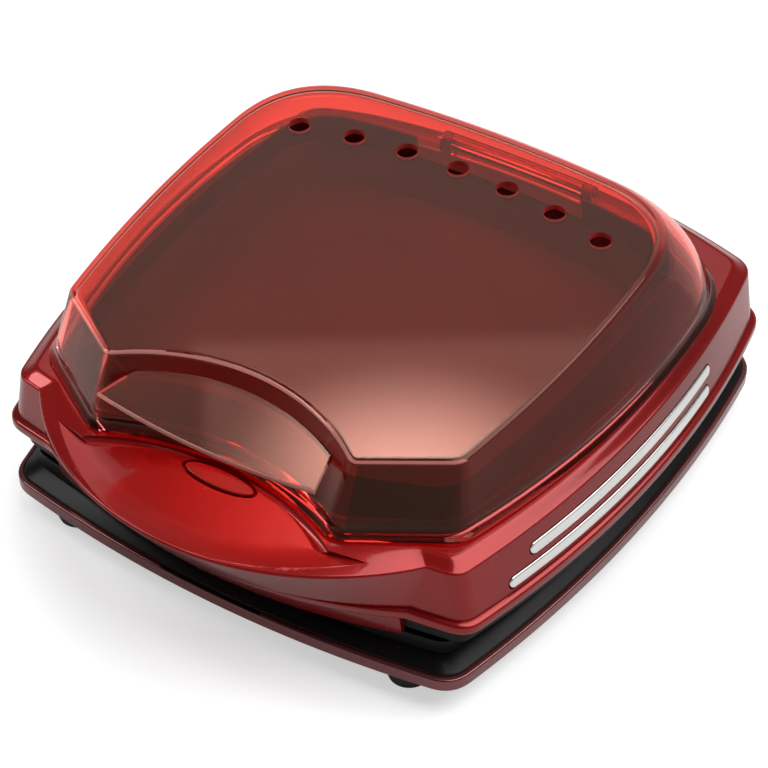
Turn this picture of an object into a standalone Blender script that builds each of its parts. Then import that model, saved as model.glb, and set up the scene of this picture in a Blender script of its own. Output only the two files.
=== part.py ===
# Countertop burger maker: a hinged contact grill with a bun warming chamber on its lid.
# Metres, +Z up, +X the machine's right, the handle points to -Y.
# The origin is on the table, below the middle of the whole object. The pieces are drawn
# about the middle of the base, and the last lines move them all.
import math
from collections import namedtuple

import bmesh
import bpy
from mathutils import Matrix

# General clearances and walls
GAP = 0.0003            # between pieces that touch
RUNNING_GAP = 0.0006    # between pieces that turn past each other
OVERRUN = 0.002         # how far a cutter runs past the face it opens
WALL = 0.0025           # moulded housings
SHEET = 0.0007          # bent steel sheet

# Steps of the round stretches
FRONT_STEPS = 10
SIDE_STEPS = 5
CORNER_STEPS = 2
ROUND_SEGMENTS = 20
SMALL_SEGMENTS = 10
FLAT_STEPS = 3          # for the edges that are nearly straight
SCREW_SIDES = 6
DECIMALS = 7            # places kept of a coordinate, so that mirrored points meet

# Plan outlines, each half width at the front and rear corners, then the corner lines' places
Plan = namedtuple("Plan", "half_front half_rear front rear bow_front bow_side bow_rear cut_front cut_rear")

LIP_SIZES = (0.1108, 0.1218, -0.1190, 0.1190, 0.0108, 0.0117, 0.0170, 0.0095, 0.0130)
BEAD_SIZES = (0.1138, 0.1225, -0.1143, 0.1186, 0.0105, 0.0146, 0.0190, 0.0075, 0.0095)
CREASE_SIZES = (0.1078, 0.1160, -0.1114, 0.1180, 0.0104, 0.0143, 0.0190, 0.0060, 0.0080)
PLATE_SIZES = (0.0950, 0.0990, -0.0960, 0.0990, 0.0040, 0.0070, 0.0060, 0.0140, 0.0160)
LIP, BEAD, CREASE, PLATE = (Plan(*sizes) for sizes in (LIP_SIZES, BEAD_SIZES, CREASE_SIZES, PLATE_SIZES))

# Base housing heights
FOOT_HEIGHT = 0.0082
LIP_RISE = 0.0035       # above the base's floor
LIP_THICKNESS = 0.0060
LIP_ROUND = 0.0008
BASE_TUCK = 0.0040      # how far the underside stands inside the lip
DECK_RISE = 0.0045      # the base deck's slope from the lip to the frame
DECK_RUN = 0.0090
BASE_OPENING = 0.0130   # from the lip to the deck's inner edge
BOTTOM_THICKNESS = 0.0024

# Lower frame and the joint line between the two halves
FRAME_INSET = 0.0080    # from the lip to the black frame
FRAME_HEIGHT = 0.0075   # from the base deck to the line where the halves meet
PLATE_GAP = 0.0008      # between the closed plates
RIM_WIDTH = 0.0040      # the plate's rim past its body
RIM_THICKNESS = 0.0024
LEDGE_THICKNESS = 0.0045

# Burger moulds in the plates
MOULD_OVERREACH = 0.0015  # past the plate's front corners, into its bowed sides
MOULD_WEB_X = 0.0090    # between neighbours
MOULD_WEB_Y = 0.0070
MOULD_RADIUS = (PLATE.half_front + MOULD_OVERREACH - MOULD_WEB_X / 2) / 2
MOULD_SPACING_X = 2 * MOULD_RADIUS + MOULD_WEB_X
MOULD_SPACING_Y = 2 * MOULD_RADIUS + MOULD_WEB_Y
MOULD_DEPTH_LOWER = 0.0085
MOULD_DEPTH_UPPER = 0.0060
MOULD_WALL = 0.0022
MOULD_DRAFT = 0.0030
RIB_WIDTH = 0.0030
RIB_HEIGHT = 0.0016
RIB_PITCH = 0.0160
RIB_COUNT = 4

# Heating
HEATER_DIAMETER = 0.0065
HEATER_INSETS = (0.0430, 0.0400, 0.0060)  # from the plate's side, front and rear
HEATER_BEND = 0.0240
THERMOSTAT_RADIUS = 0.0080
THERMOSTAT_HEIGHT = 0.0045
THERMOSTAT_CAP = 0.0060
FUSE_RADIUS = 0.0021
FUSE_LENGTH = 0.0130
FUSE_Y = 0.0200
REFLECTOR_INSETS = (0.0230, 0.0240, 0.0005)
REFLECTOR_LIP = 0.0040
REFLECTOR_DROP = 0.0004  # from the heater

# Lid housing
BEAD_DROP = 0.0045      # below the upper frame's top
BEAD_HEIGHT = 0.0055
BEAD_ROUND = 0.0016
SKIRT_STEP = 0.0022     # the skirt stands this far inside the bead
SKIRT_HEIGHT = 0.0236
CREASE_ROUND = 0.0012
DECK_CROWN = 0.0030     # from the crease to the level deck
DECK_EDGE = 0.0055      # from the crease to the level deck
APRON_GAP = 0.0004      # from the lower frame's top
UPPER_FRAME_RISE = 0.0160  # top of the black upper frame above the joint line
BEAD_WALL = 0.0050
ROOF_WALL = 0.0028
ROOF_RUN = 0.0090
GRIP_SETBACK = 0.0054   # the hollow above the grip starts this far behind the crease

# Handle tongue: an arc that leaves the front edge and bulges forwards
TONGUE_HALF = 0.0940
TONGUE_APEX = -0.1575
DECK_TONGUE_APEX = -0.1360
APRON_HALF = 0.0850
APRON_APEX = -0.1305
GRIP_THICKNESS = 0.0106

# Dished pan on the tongue
DISH_DROP = 0.0038      # below the crease at its front
DISH_SLOPE_SHARE = 0.14  # rise of its floor per length towards the rear
DISH_DEPTH = 0.0044
DISH_LOW = ((0.0610, -0.1280), (0.0580, -0.1292))
DISH_HIGH = ((0.0860, -0.1215), (0.0610, -0.1278))
DISH_FRONT_LOW = -0.1490
DISH_FRONT_HIGH = -0.1554
DISH_SETBACK = 0.0008   # from the cover's foot

# Bun cover, its plan at several heights
CoverPlan = namedtuple("CoverPlan", "apex nose_half nose_y corner_half corner_y rear_half rear_y rear_middle"
                       " cut_nose cut_corner cut_rear bow_side")
COVER_FOOT_SIZES = (-0.1110, 0.0580, -0.1250, 0.1020, -0.0985, 0.1150, 0.1030, 0.1165,
                    0.0050, 0.0060, 0.0340, 0.0120)
COVER_TOP_SIZES = (-0.0895, 0.0585, -0.1103, 0.0950, -0.0885, 0.1000, 0.0820, 0.0900,
                   0.0030, 0.0040, 0.0380, 0.0060)
COVER_FOOT, COVER_TOP = CoverPlan(*COVER_FOOT_SIZES), CoverPlan(*COVER_TOP_SIZES)
COVER_FLARE = 0.0028
COVER_FLANGE = 0.0018
COVER_FLARE_RISE = 0.0050
COVER_HEIGHT = 0.0316
COVER_SLOPE_SHARE = 0.043  # rise of the top per length towards the rear
COVER_LEVEL_Y = -0.1000  # where the top has its front height
COVER_WALL = 0.0024
COVER_EDGE = 0.0016
CORNER_GROWTH_SHARE = 0.7  # how far the front corners move along Y when the outline grows
TOP_DROP_SHARE = 1.5
POST_PLACE_SHARE = 0.8  # the reflector's posts, out from the middle
STRIP_FLAT_SHARE = 0.3
STRIP_EDGE_SHARE = 0.4
REAR_ROUND_DROPS = (0.0150, 0.0060)
REAR_ROUND_MIDDLES = (0.1080, 0.0995)
REAR_ROUND_CORNERS = (0.0975, 0.0900)

VENT_COUNT = 7
VENT_SPACING = 0.0252
VENT_RADIUS = 0.0048
VENT_SETBACK = 0.0290   # the middle vent, from the top's rear edge
VENT_BOW = 0.0100       # how far the row's ends stand forward of its middle

TAB_DROP = 0.0073       # below the cover's top
TAB_THICKNESS = 0.0024
TAB_SIDE_INSETS = (0.0065, 0.0115)  # from the recess's sides, at its front and rear
TAB_SETOUT = 0.0005     # its front ends, before the cover's foot
TAB_ROOT_INSETS = (0.0041, 0.0045)  # its rear ends and middle, from the recess's top edge
TAB_BOW_FRONT = 0.0040

# Bun tray
TRAY_FOOT_SIZES = (-0.0950, 0.0460, -0.1040, 0.0830, -0.0860, 0.0900, 0.0840, 0.0930,
                   0.0060, 0.0080, 0.0200, 0.0060)
TRAY_SEAT_SIZES = (-0.1010, 0.0500, -0.1120, 0.0920, -0.0920, 0.0990, 0.0900, 0.1000,
                   0.0060, 0.0080, 0.0220, 0.0070)
TRAY_RIM_SIZES = (-0.0930, 0.0520, -0.1040, 0.0900, -0.0890, 0.0965, 0.0880, 0.0980,
                  0.0060, 0.0080, 0.0220, 0.0070)
TRAY_FOOT, TRAY_SEAT, TRAY_RIM = (CoverPlan(*sizes)
                                  for sizes in (TRAY_FOOT_SIZES, TRAY_SEAT_SIZES, TRAY_RIM_SIZES))
TRAY_DEPTH = 0.0136
TRAY_RIM_RISE = 0.0164
TRAY_WALL = 0.0014
TRAY_FLANGE = 0.0030
NOTCH_HALF = 0.0430
NOTCH_RISE = 0.0049

# Lid hinge
HINGE_SETOUT = 0.0090   # behind the lip's rear corners
HINGE_RISE = 0.0100     # above the joint line
HINGE_RADIUS = 0.0055
EAR_ROOT_HALF = 0.0042
HINGE_INNER = 0.0360    # inner face of the inner ear, from the middle
EAR_THICKNESS = 0.0050
KNUCKLE_LENGTH = 0.0154
PIN_RADIUS = 0.0022
PIN_HEAD_RADIUS = 0.0036
PIN_HEAD_LENGTH = 0.0012
HINGE_SLOT_RISE = 0.0100
EAR_ROOT_RISE = 0.0010

# Cover hinge
COVER_HINGE_SETBACK = 0.0005  # from the rear of the cover's foot
COVER_HINGE_RISE = 0.0069
COVER_HINGE_RADIUS = 0.0042
BARREL_HALF = 0.0340
LUG_THICKNESS = 0.0045
ROD_RADIUS = 0.0016

# Chrome strips on the skirt
STRIP_RISES = (0.0132, 0.0045)
STRIP_FRONT_INSETS = (0.0359, 0.0229)  # from the crease's front and rear corners
STRIP_REAR_INSETS = (0.0595, 0.0620)
STRIP_WIDTH = 0.0052
STRIP_DEPTH = 0.0022
STRIP_PROUD = 0.0010
STRIP_STEPS = 4

# Indicator window and lamps
LENS_SETBACK = 0.0053   # from the dish's rear edge
LENS_LENGTH = 0.0340
LENS_WIDTH = 0.0100
LENS_THICKNESS = 0.0026
LENS_PROUD = 0.0006
LAMP_SPACING = 0.0140
LAMP_RADIUS = 0.0028
LAMP_CLEARANCE = 0.0012  # below the lens
LAMP_SOCKET = 0.0029
LAMP_HOLDER_HALF = 0.0140
LAMP_HOLDER_DEPTH = 0.0090
LAMP_HOLDER_HEIGHT = 0.0045
LAMP_SLOT_HALF = 0.0112
LAMP_SLOT_DEPTH = 0.0068

# Feet and screws
FOOT_RADIUS = 0.0095
FOOT_TOE_RADIUS = 0.0080
FOOT_STEM_RADIUS = 0.0022
FOOT_STEM = 0.0045
FOOT_INSETS = ((0.0268, 0.0100), (0.0298, 0.0110))         # from the lip's corners
LOWER_SCREW_INSETS = ((0.0448, 0.0150), (0.0478, 0.0110))
UPPER_SCREW_INSETS = ((0.0098, 0.0084), (0.0110, 0.0130))  # from the crease's corners
SCREW_RADIUS = 0.0015
SCREW_HEAD_RADIUS = 0.0030
SCREW_HEAD_HEIGHT = 0.0020
SCREW_LENGTH = 0.0110
SCREW_WELL = 0.0078
BOSS_RADIUS = 0.0044

# Cord inlet and terminal block
GLAND_X = 0.0000
GLAND_RADIUS = 0.0050
GLAND_BORE = 0.0034
GLAND_COLLAR = 0.0063
GLAND_NOSE = 0.0046
GLAND_LENGTH = 0.0045
GLAND_RISE = 0.0018     # above the lip
INLET_HALF = 0.0150
INLET_DEPTH = 0.0150
INLET_PROUD = 0.0010    # behind the lip
INLET_RISE = 0.0110
BLOCK_WIDTH = 0.0260
BLOCK_DEPTH = 0.0120
BLOCK_HEIGHT = 0.0100
BLOCK_SETBACK = 0.0310  # from the inlet's rear

VENT_SLOT_COUNT = 5
VENT_SLOT_PITCH = 0.0160
VENT_SLOT_LENGTH = 0.0300
VENT_SLOT_WIDTH = 0.0030
VENT_SLOT_Y = 0.0460


def clear_scene():
    for item in list(bpy.data.objects):
        bpy.data.objects.remove(item, do_unlink=True)


def collection(name):
    made = bpy.data.collections.new(name)
    bpy.context.scene.collection.children.link(made)
    return made


clear_scene()
PARTS = collection("burger_maker")
CUTTERS = collection("cutters")


def material(name, colour, roughness, metallic=0.0, alpha=1.0):
    made = bpy.data.materials.new(name)
    made.use_nodes = True
    shader = made.node_tree.nodes["Principled BSDF"]
    shader.inputs["Base Color"].default_value = (*colour, 1.0)
    shader.inputs["Roughness"].default_value = roughness
    shader.inputs["Metallic"].default_value = metallic
    shader.inputs["Alpha"].default_value = alpha
    made.diffuse_color = (*colour, alpha)
    return made


RED = material("candy_red", (0.46, 0.012, 0.010), 0.22, 0.35)
BASE_RED = material("base_red", (0.20, 0.035, 0.035), 0.30, 0.45)
CLEAR_RED = material("clear_red", (0.62, 0.03, 0.02), 0.08, 0.0, 0.45)
BLACK = material("black_plastic", (0.012, 0.012, 0.013), 0.38)
NONSTICK = material("nonstick", (0.03, 0.028, 0.028), 0.45, 0.4)
TRAY_DARK = material("tray_dark", (0.035, 0.022, 0.020), 0.35, 0.5)
CHROME = material("chrome", (0.80, 0.80, 0.80), 0.12, 1.0)
STEEL = material("steel", (0.45, 0.45, 0.46), 0.35, 1.0)
SHEET_METAL = material("bright_sheet", (0.62, 0.62, 0.62), 0.30, 1.0)
RUBBER = material("rubber", (0.015, 0.015, 0.015), 0.85)
LENS_RED = material("lens_red", (0.50, 0.01, 0.01), 0.10, 0.0, 0.7)
LAMP_RED = material("lamp_red", (0.80, 0.05, 0.02), 0.30)
LAMP_GREEN = material("lamp_green", (0.05, 0.55, 0.10), 0.30)
CERAMIC = material("ceramic", (0.80, 0.78, 0.72), 0.60)


def mesh_object(name, mesh, finish=None):
    made = bpy.data.objects.new(name, mesh)
    if finish is None:
        made.hide_render = True
        made.display_type = "WIRE"
        CUTTERS.objects.link(made)
    else:
        mesh.materials.append(finish)
        PARTS.objects.link(made)
    return made


def from_bmesh(name, work, finish=None, smooth=False):
    bmesh.ops.recalc_face_normals(work, faces=work.faces)
    mesh = bpy.data.meshes.new(name)
    work.to_mesh(mesh)
    work.free()
    if smooth:
        mesh.shade_smooth()
        mesh.set_sharp_from_angle(angle=math.radians(35))
    return mesh_object(name, mesh, finish)


def boolean(target, tool, operation="DIFFERENCE"):
    step = target.modifiers.new(tool.name, "BOOLEAN")
    step.operation = operation
    step.solver = "EXACT"
    step.object = tool


def cut(target, *tools):
    for tool in tools:
        boolean(target, tool)


def join(target, *tools):
    for tool in tools:
        boolean(target, tool, "UNION")


def arc(start, end, bow, trim_start, trim_end, steps):
    """Points from start to end on an arc that bulges by bow to the right of the way there."""
    run_x, run_y = end[0] - start[0], end[1] - start[1]
    length = math.hypot(run_x, run_y)
    along, out = (run_x / length, run_y / length), (run_y / length, -run_x / length)
    first, last = trim_start / length, 1 - trim_end / length
    points = []
    for step in range(steps + 1):
        share = first + (last - first) * step / steps
        if abs(bow) < length / 10000:
            forward, side = share * length, 0.0
        else:
            radius = (length ** 2 / 4 + bow ** 2) / (2 * abs(bow))
            angle = math.asin(length / 2 / radius) * (2 * share - 1)
            forward = length / 2 + radius * math.sin(angle)
            side = math.copysign(radius * math.cos(angle) - (radius - abs(bow)), bow)
        points.append((start[0] + along[0] * forward + out[0] * side,
                       start[1] + along[1] * forward + out[1] * side))
    return points


def outline(corners, bows, steps, corner_steps=CORNER_STEPS):
    """A closed outline, mirrored in x, from the right-hand corners (x, y, cut), front to rear.

    bows and steps run over the front edge, each right-hand edge and the rear edge."""
    right = list(corners)
    everything = right + [(-x, y, trim) for x, y, trim in reversed(right)]
    sides = bows[1:-1]
    edge_bows = sides + [bows[-1]] + sides[::-1] + [bows[0]]
    side_steps = steps[1:-1]
    edge_steps = side_steps + [steps[-1]] + side_steps[::-1] + [steps[0]]
    points = []
    for index, (x, y, trim) in enumerate(everything):
        end_x, end_y, end_trim = everything[(index + 1) % len(everything)]
        edge = arc((x, y), (end_x, end_y), edge_bows[index], trim, end_trim, edge_steps[index])
        points += edge if end_trim else edge[:-1]
        if not end_trim:
            continue
        after = everything[(index + 2) % len(everything)]
        next_edge = arc((end_x, end_y), after[:2], edge_bows[(index + 1) % len(everything)],
                        end_trim, after[2], edge_steps[(index + 1) % len(everything)])
        before, beyond = edge[-1], next_edge[0]
        for step in range(1, corner_steps):
            share = step / corner_steps
            points.append(tuple((1 - share) ** 2 * a + 2 * share * (1 - share) * b + share ** 2 * c
                                for a, b, c in zip(before, (end_x, end_y), beyond)))
    return points


def at_height(points, height, slope=0.0, level_at=0.0):
    return [tuple(round(value, DECIMALS) for value in (x, y, height + slope * (y - level_at)))
            for x, y in points]


def grown(plan, by):
    trim = max(plan.cut_front + by / 2, plan.cut_front / 3)
    rear_trim = max(plan.cut_rear + by / 2, plan.cut_rear / 3)
    return plan._replace(half_front=plan.half_front + by, half_rear=plan.half_rear + by,
                         front=plan.front - by, rear=plan.rear + by, cut_front=trim, cut_rear=rear_trim)


def plan_outline(plan, tongue=None):
    """The bowed four-sided outline; tongue is (half width, apex) of a bulge in its front."""
    corners = [(plan.half_front, plan.front, plan.cut_front), (plan.half_rear, plan.rear, plan.cut_rear)]
    base = outline(corners, [plan.bow_front, plan.bow_side, plan.bow_rear],
                   [FRONT_STEPS + 2, SIDE_STEPS, SIDE_STEPS + 2])
    front = front_edge(plan, tongue)
    return base[:len(base) - len(front) - (CORNER_STEPS - 1)] + front + base[-(CORNER_STEPS - 1):]


def plate_outline(by):
    """The grill plates' outline, flatter than the housings', so drawn with fewer points."""
    plan = grown(PLATE, by)
    corners = [(plan.half_front, plan.front, plan.cut_front), (plan.half_rear, plan.rear, plan.cut_rear)]
    return outline(corners, [plan.bow_front, plan.bow_side, plan.bow_rear],
                   [FLAT_STEPS + 1, FLAT_STEPS, FLAT_STEPS + 1])


def front_edge(plan, tongue):
    """The front edge's points, left to right, with one at each side of the tongue."""
    half, apex = tongue or (min(TONGUE_HALF, plan.half_front - plan.cut_front * 1.5), None)
    full = plan.half_front
    radius = (full ** 2 + plan.bow_front ** 2) / (2 * plan.bow_front)

    def plain(x):
        return plan.front - plan.bow_front + radius - math.sqrt(radius ** 2 - x ** 2)

    end = full - plan.cut_front
    points = [(-end, plain(end))]
    root = plain(half)
    for step in range(FRONT_STEPS + 1):
        x = -half + 2 * half * step / FRONT_STEPS
        y = plain(x)
        if apex is not None:
            sagitta = root - apex
            bulge = (half ** 2 + sagitta ** 2) / (2 * sagitta)
            y = min(y, apex + bulge - math.sqrt(bulge ** 2 - x ** 2))
        points.append((x, y))
    return points + [(end, plain(end))]


def loft(name, rings, finish=None, smooth=False):
    """A closed solid through rings of equally many points, lowest ring first."""
    work = bmesh.new()
    levels = [[work.verts.new(point) for point in ring] for ring in rings]
    count = len(rings[0])
    for lower, upper in zip(levels, levels[1:]):
        for index in range(count):
            other = (index + 1) % count
            work.faces.new((lower[index], lower[other], upper[other], upper[index]))
    bmesh.ops.triangulate(work, faces=list(work.faces))
    work.faces.new(levels[0][::-1])
    work.faces.new(levels[-1])
    return from_bmesh(name, work, finish, smooth)


def prism(name, points, low, high, finish=None):
    return loft(name, [at_height(points, low), at_height(points, high)], finish)


def add_box(work, low, high):
    size = [b - a for a, b in zip(low, high)]
    middle = [(a + b) / 2 for a, b in zip(low, high)]
    bmesh.ops.create_cube(work, size=1.0, matrix=Matrix.Translation(middle) @ Matrix.Diagonal((*size, 1.0)))


def boxes(name, spans, finish=None):
    work = bmesh.new()
    for low, high in spans:
        add_box(work, low, high)
    return from_bmesh(name, work, finish)


def add_cylinder(work, start, end, radius, segments, end_radius=None):
    """A cylinder or cone between two points on a line along X, Y or Z."""
    run = [b - a for a, b in zip(start, end)]
    length = sum(abs(value) for value in run)
    middle = [(a + b) / 2 for a, b in zip(start, end)]
    turn = Matrix.Identity(4)
    if abs(run[0]) > 0:
        turn = Matrix.Rotation(math.radians(90), 4, "Y")
    elif abs(run[1]) > 0:
        turn = Matrix.Rotation(math.radians(-90), 4, "X")
    bmesh.ops.create_cone(work, cap_ends=True, segments=segments, radius1=radius,
                          radius2=radius if end_radius is None else end_radius, depth=length,
                          matrix=Matrix.Translation(middle) @ turn)


def cylinders(name, spans, finish=None, segments=SMALL_SEGMENTS, smooth=False):
    work = bmesh.new()
    for start, end, radius in spans:
        add_cylinder(work, start, end, radius, segments)
    return from_bmesh(name, work, finish, smooth)


def turned(name, profile, place, finish, rotation=(0.0, 0.0, 0.0), steps=SMALL_SEGMENTS):
    """A profile of (radius, height), outer side downwards, turned about its own Z."""
    mesh = bpy.data.meshes.new(name)
    closed = profile[0][0] > 0
    edges = [(index, index + 1) for index in range(len(profile) - 1)]
    if closed:
        edges.append((len(profile) - 1, 0))
    mesh.from_pydata([(radius, 0.0, height) for radius, height in profile], edges, [])
    made = mesh_object(name, mesh, finish)
    screw = made.modifiers.new("turn", "SCREW")
    screw.steps = screw.render_steps = steps
    screw.use_merge_vertices = True
    screw.merge_threshold = GAP / 30
    made.location = place
    made.rotation_euler = rotation
    return made


def tube(name, points, radius, finish, resolution=2):
    curve = bpy.data.curves.new(name, "CURVE")
    curve.dimensions = "3D"
    curve.bevel_depth = radius
    curve.bevel_resolution = resolution
    curve.use_fill_caps = True
    line = curve.splines.new("POLY")
    line.points.add(len(points) - 1)
    for point, place in zip(line.points, points):
        point.co = (*place, 1.0)
    curve.materials.append(finish)
    made = bpy.data.objects.new(name, curve)
    PARTS.objects.link(made)
    return made


BASE_FLOOR = FOOT_HEIGHT + GAP
LIP_LOW = BASE_FLOOR + LIP_RISE
LIP_HIGH = LIP_LOW + LIP_THICKNESS
DECK_TOP = LIP_HIGH + DECK_RISE
PARTING_LINE = DECK_TOP + FRAME_HEIGHT
APRON_LOW = PARTING_LINE + APRON_GAP
FRAME_SEAT = PARTING_LINE + UPPER_FRAME_RISE
BEAD_LOW = FRAME_SEAT - BEAD_DROP
BEAD_HIGH = BEAD_LOW + BEAD_HEIGHT
CREASE_HEIGHT = BEAD_HIGH + SKIRT_HEIGHT
DECK_HEIGHT = CREASE_HEIGHT + DECK_CROWN
ROOF_EDGE = CREASE_HEIGHT - ROOF_WALL
ROOF_MIDDLE = DECK_HEIGHT - ROOF_WALL
GRIP_ROOF = CREASE_HEIGHT - GRIP_THICKNESS
DISH_FLOOR = CREASE_HEIGHT - DISH_DROP
DISH_REAR = COVER_FOOT.apex - DISH_SETBACK
LENS_Y = DISH_REAR - LENS_SETBACK
HINGE_Z = PARTING_LINE + HINGE_RISE
HINGE_SLOT_TOP = HINGE_Z + HINGE_SLOT_RISE
EAR_ROOT = LIP_HIGH + EAR_ROOT_RISE
GLAND_Z = LIP_HIGH + GLAND_RISE
INLET_TOP = LIP_HIGH + INLET_RISE
COVER_HINGE_Z = DECK_HEIGHT + COVER_HINGE_RISE
FRAME_LOW = DECK_TOP + GAP
BOTTOM_TOP = BASE_FLOOR + BOTTOM_THICKNESS
INLET_REAR = LIP.rear + LIP.bow_rear + INLET_PROUD
BLOCK_Y = INLET_REAR - BLOCK_SETBACK
HINGE_Y = LIP.rear + HINGE_SETOUT
COVER_HINGE_Y = COVER_FOOT.rear_middle - COVER_HINGE_SETBACK
HEATER_HALF_WIDTH = PLATE.half_front - HEATER_INSETS[0]
HEATER_FRONT, HEATER_REAR = PLATE.front + HEATER_INSETS[1], PLATE.rear - HEATER_INSETS[2]
REFLECTOR_HALF_WIDTH = PLATE.half_front - REFLECTOR_INSETS[0]
REFLECTOR_FRONT, REFLECTOR_REAR = PLATE.front + REFLECTOR_INSETS[1], PLATE.rear - REFLECTOR_INSETS[2]
GRIP_BACK = CREASE.front + GRIP_SETBACK
VENT_MIDDLE_Y = COVER_TOP.rear_middle - VENT_SETBACK
TAB_HALF_FRONT, TAB_HALF_REAR = (COVER_TOP.nose_half - inset for inset in TAB_SIDE_INSETS)
TAB_END_FRONT = COVER_FOOT.nose_y - TAB_SETOUT
TAB_END_REAR, TAB_APEX = COVER_TOP.nose_y + TAB_ROOT_INSETS[0], COVER_TOP.apex - TAB_ROOT_INSETS[1]
ORIGIN_SHIFT = -(TONGUE_APEX + INLET_REAR + GLAND_LENGTH) / 2
LOWER_RIM_LOW = PARTING_LINE - RIM_THICKNESS
LOWER_BULGE = PARTING_LINE - MOULD_DEPTH_LOWER - MOULD_WALL
LOWER_HEATER_Z = LOWER_BULGE - GAP - HEATER_DIAMETER / 2
LOWER_REFLECTOR_Z = LOWER_HEATER_Z - HEATER_DIAMETER / 2 - REFLECTOR_DROP - SHEET
UPPER_RIM_LOW = PARTING_LINE + PLATE_GAP
UPPER_BULGE = UPPER_RIM_LOW + MOULD_DEPTH_UPPER + MOULD_WALL
UPPER_HEATER_Z = UPPER_BULGE + GAP + HEATER_DIAMETER / 2
UPPER_FRAME_LOW = UPPER_RIM_LOW + PLATE_GAP
CORNER_NAMES = ("front_left", "front_right", "rear_left", "rear_right")
EAR_SPANS = [(HINGE_INNER, HINGE_INNER + EAR_THICKNESS),
             (HINGE_INNER + EAR_THICKNESS + KNUCKLE_LENGTH + 2 * RUNNING_GAP,
              HINGE_INNER + 2 * EAR_THICKNESS + KNUCKLE_LENGTH + 2 * RUNNING_GAP)]
HINGE_OUTER = EAR_SPANS[1][1]
COVER_LUG = (BARREL_HALF + RUNNING_GAP, BARREL_HALF + RUNNING_GAP + LUG_THICKNESS)
COVER_LOW = DECK_HEIGHT + GAP
COVER_FRONT_HEIGHT = COVER_LOW + COVER_HEIGHT
TAB_HEIGHT = COVER_FRONT_HEIGHT - TAB_DROP
TRAY_FLOOR = DECK_HEIGHT - TRAY_DEPTH
TRAY_BOTTOM = TRAY_FLOOR - TRAY_WALL
TRAY_RIM_HEIGHT = DECK_HEIGHT + TRAY_RIM_RISE
NOTCH_LOW = DECK_HEIGHT + NOTCH_RISE


def four_places(plan, insets):
    """Places inset from an outline's front and rear corners, left before right."""
    (front_x, front_y), (rear_x, rear_y) = insets
    places = ((plan.half_front - front_x, plan.front + front_y), (plan.half_rear - rear_x, plan.rear - rear_y))
    return [(side * x, y) for x, y in places for side in (-1, 1)]


FOOT_PLACES = four_places(LIP, FOOT_INSETS)
LOWER_SCREW_PLACES = four_places(LIP, LOWER_SCREW_INSETS)
UPPER_SCREW_PLACES = four_places(CREASE, UPPER_SCREW_INSETS)


def ear_profile(y, z, radius, root_z, root_half, steps=5):
    """A lug's side view: straight sides from its root up to a round end about the axis."""
    points = [(y - root_half, root_z), (y + root_half, root_z)]
    for step in range(steps + 1):
        angle = math.pi * step / steps
        points.append((y + radius * math.cos(angle), z + radius * math.sin(angle)))
    return points


def mirrored_slabs(name, profile, spans, finish=None):
    """Slabs of a (y, z) profile across X at each span and at its mirror image, as one mesh."""
    work = bmesh.new()
    for low, high in spans:
        for low_x, high_x in ((low, high), (-high, -low)):
            ends = [[work.verts.new((x, y, z)) for y, z in profile] for x in (low_x, high_x)]
            count = len(profile)
            for index in range(count):
                other = (index + 1) % count
                work.faces.new((ends[0][index], ends[0][other], ends[1][other], ends[1][index]))
            work.faces.new(ends[0][::-1])
            work.faces.new(ends[1])
    return from_bmesh(name, work, finish)


def levels_of(plan, heights_and_steps):
    return [at_height(plan_outline(grown(plan, by)), z) for z, by in heights_and_steps]


def holes(name, places, low, high, radius, segments=SMALL_SEGMENTS):
    return cylinders(name, [((x, y, low), (x, y, high), radius) for x, y in places], None, segments)


def cross_holes(name, spans, y, z, radius):
    return cylinders(name, [((low, y, z), (high, y, z), radius) for low, high in spans])


def both_sides(low, high):
    return [(low, high), (-high, -low)]


def hinge_clearance(name, y_low, z_low, z_high):
    """Room for the base's ears and the knuckle between them."""
    y_high = HINGE_Y + INLET_DEPTH
    past = PIN_HEAD_LENGTH + GAP + RUNNING_GAP
    return boxes(name, [((low, y_low, z_low), (high, y_high, z_high))
                        for low, high in both_sides(HINGE_INNER - past, HINGE_OUTER + past)])


def base_shell():
    shell = loft("base_shell", levels_of(LIP, [
        (BASE_FLOOR, -BASE_TUCK), (LIP_LOW, 0.0),
        (LIP_HIGH - LIP_ROUND, 0.0), (LIP_HIGH, -LIP_ROUND), (DECK_TOP, -DECK_RUN),
        (DECK_TOP, -BASE_OPENING - OVERRUN)]), BASE_RED, True)
    join(shell, inlet_housing("inlet_block", 0.0, LIP_LOW),
         mirrored_slabs("ear_blanks", ear_profile(HINGE_Y, HINGE_Z, HINGE_RADIUS, EAR_ROOT, EAR_ROOT_HALF),
                        EAR_SPANS))
    cut(shell,
        loft("base_hollow", levels_of(LIP, [
            (BASE_FLOOR - OVERRUN, -BASE_TUCK - WALL), (LIP_LOW, -WALL), (LIP_HIGH - WALL, -WALL),
            (DECK_TOP - WALL, -DECK_RUN),
            (DECK_TOP - WALL, -BASE_OPENING - OVERRUN)])),
        prism("base_mouth", plan_outline(grown(LIP, -BASE_OPENING)), LIP_LOW, DECK_TOP + OVERRUN),
        inlet_housing("inlet_hollow", WALL, BASE_FLOOR - OVERRUN),
        cylinders("gland_hole", [((GLAND_X, INLET_REAR - WALL - OVERRUN, GLAND_Z),
                                  (GLAND_X, INLET_REAR + OVERRUN, GLAND_Z), GLAND_RADIUS + GAP)]),
        cross_holes("ear_holes", both_sides(HINGE_INNER - OVERRUN, HINGE_OUTER + OVERRUN),
                    HINGE_Y, HINGE_Z, PIN_RADIUS + GAP))
    return shell


def inlet_housing(name, inset, low):
    """The raised block at the rear for the cord's inlet, or its hollow."""
    return boxes(name, [((GLAND_X - INLET_HALF + inset, INLET_REAR - INLET_DEPTH + inset, low),
                         (GLAND_X + INLET_HALF - inset, INLET_REAR - inset, INLET_TOP - inset))])


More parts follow.
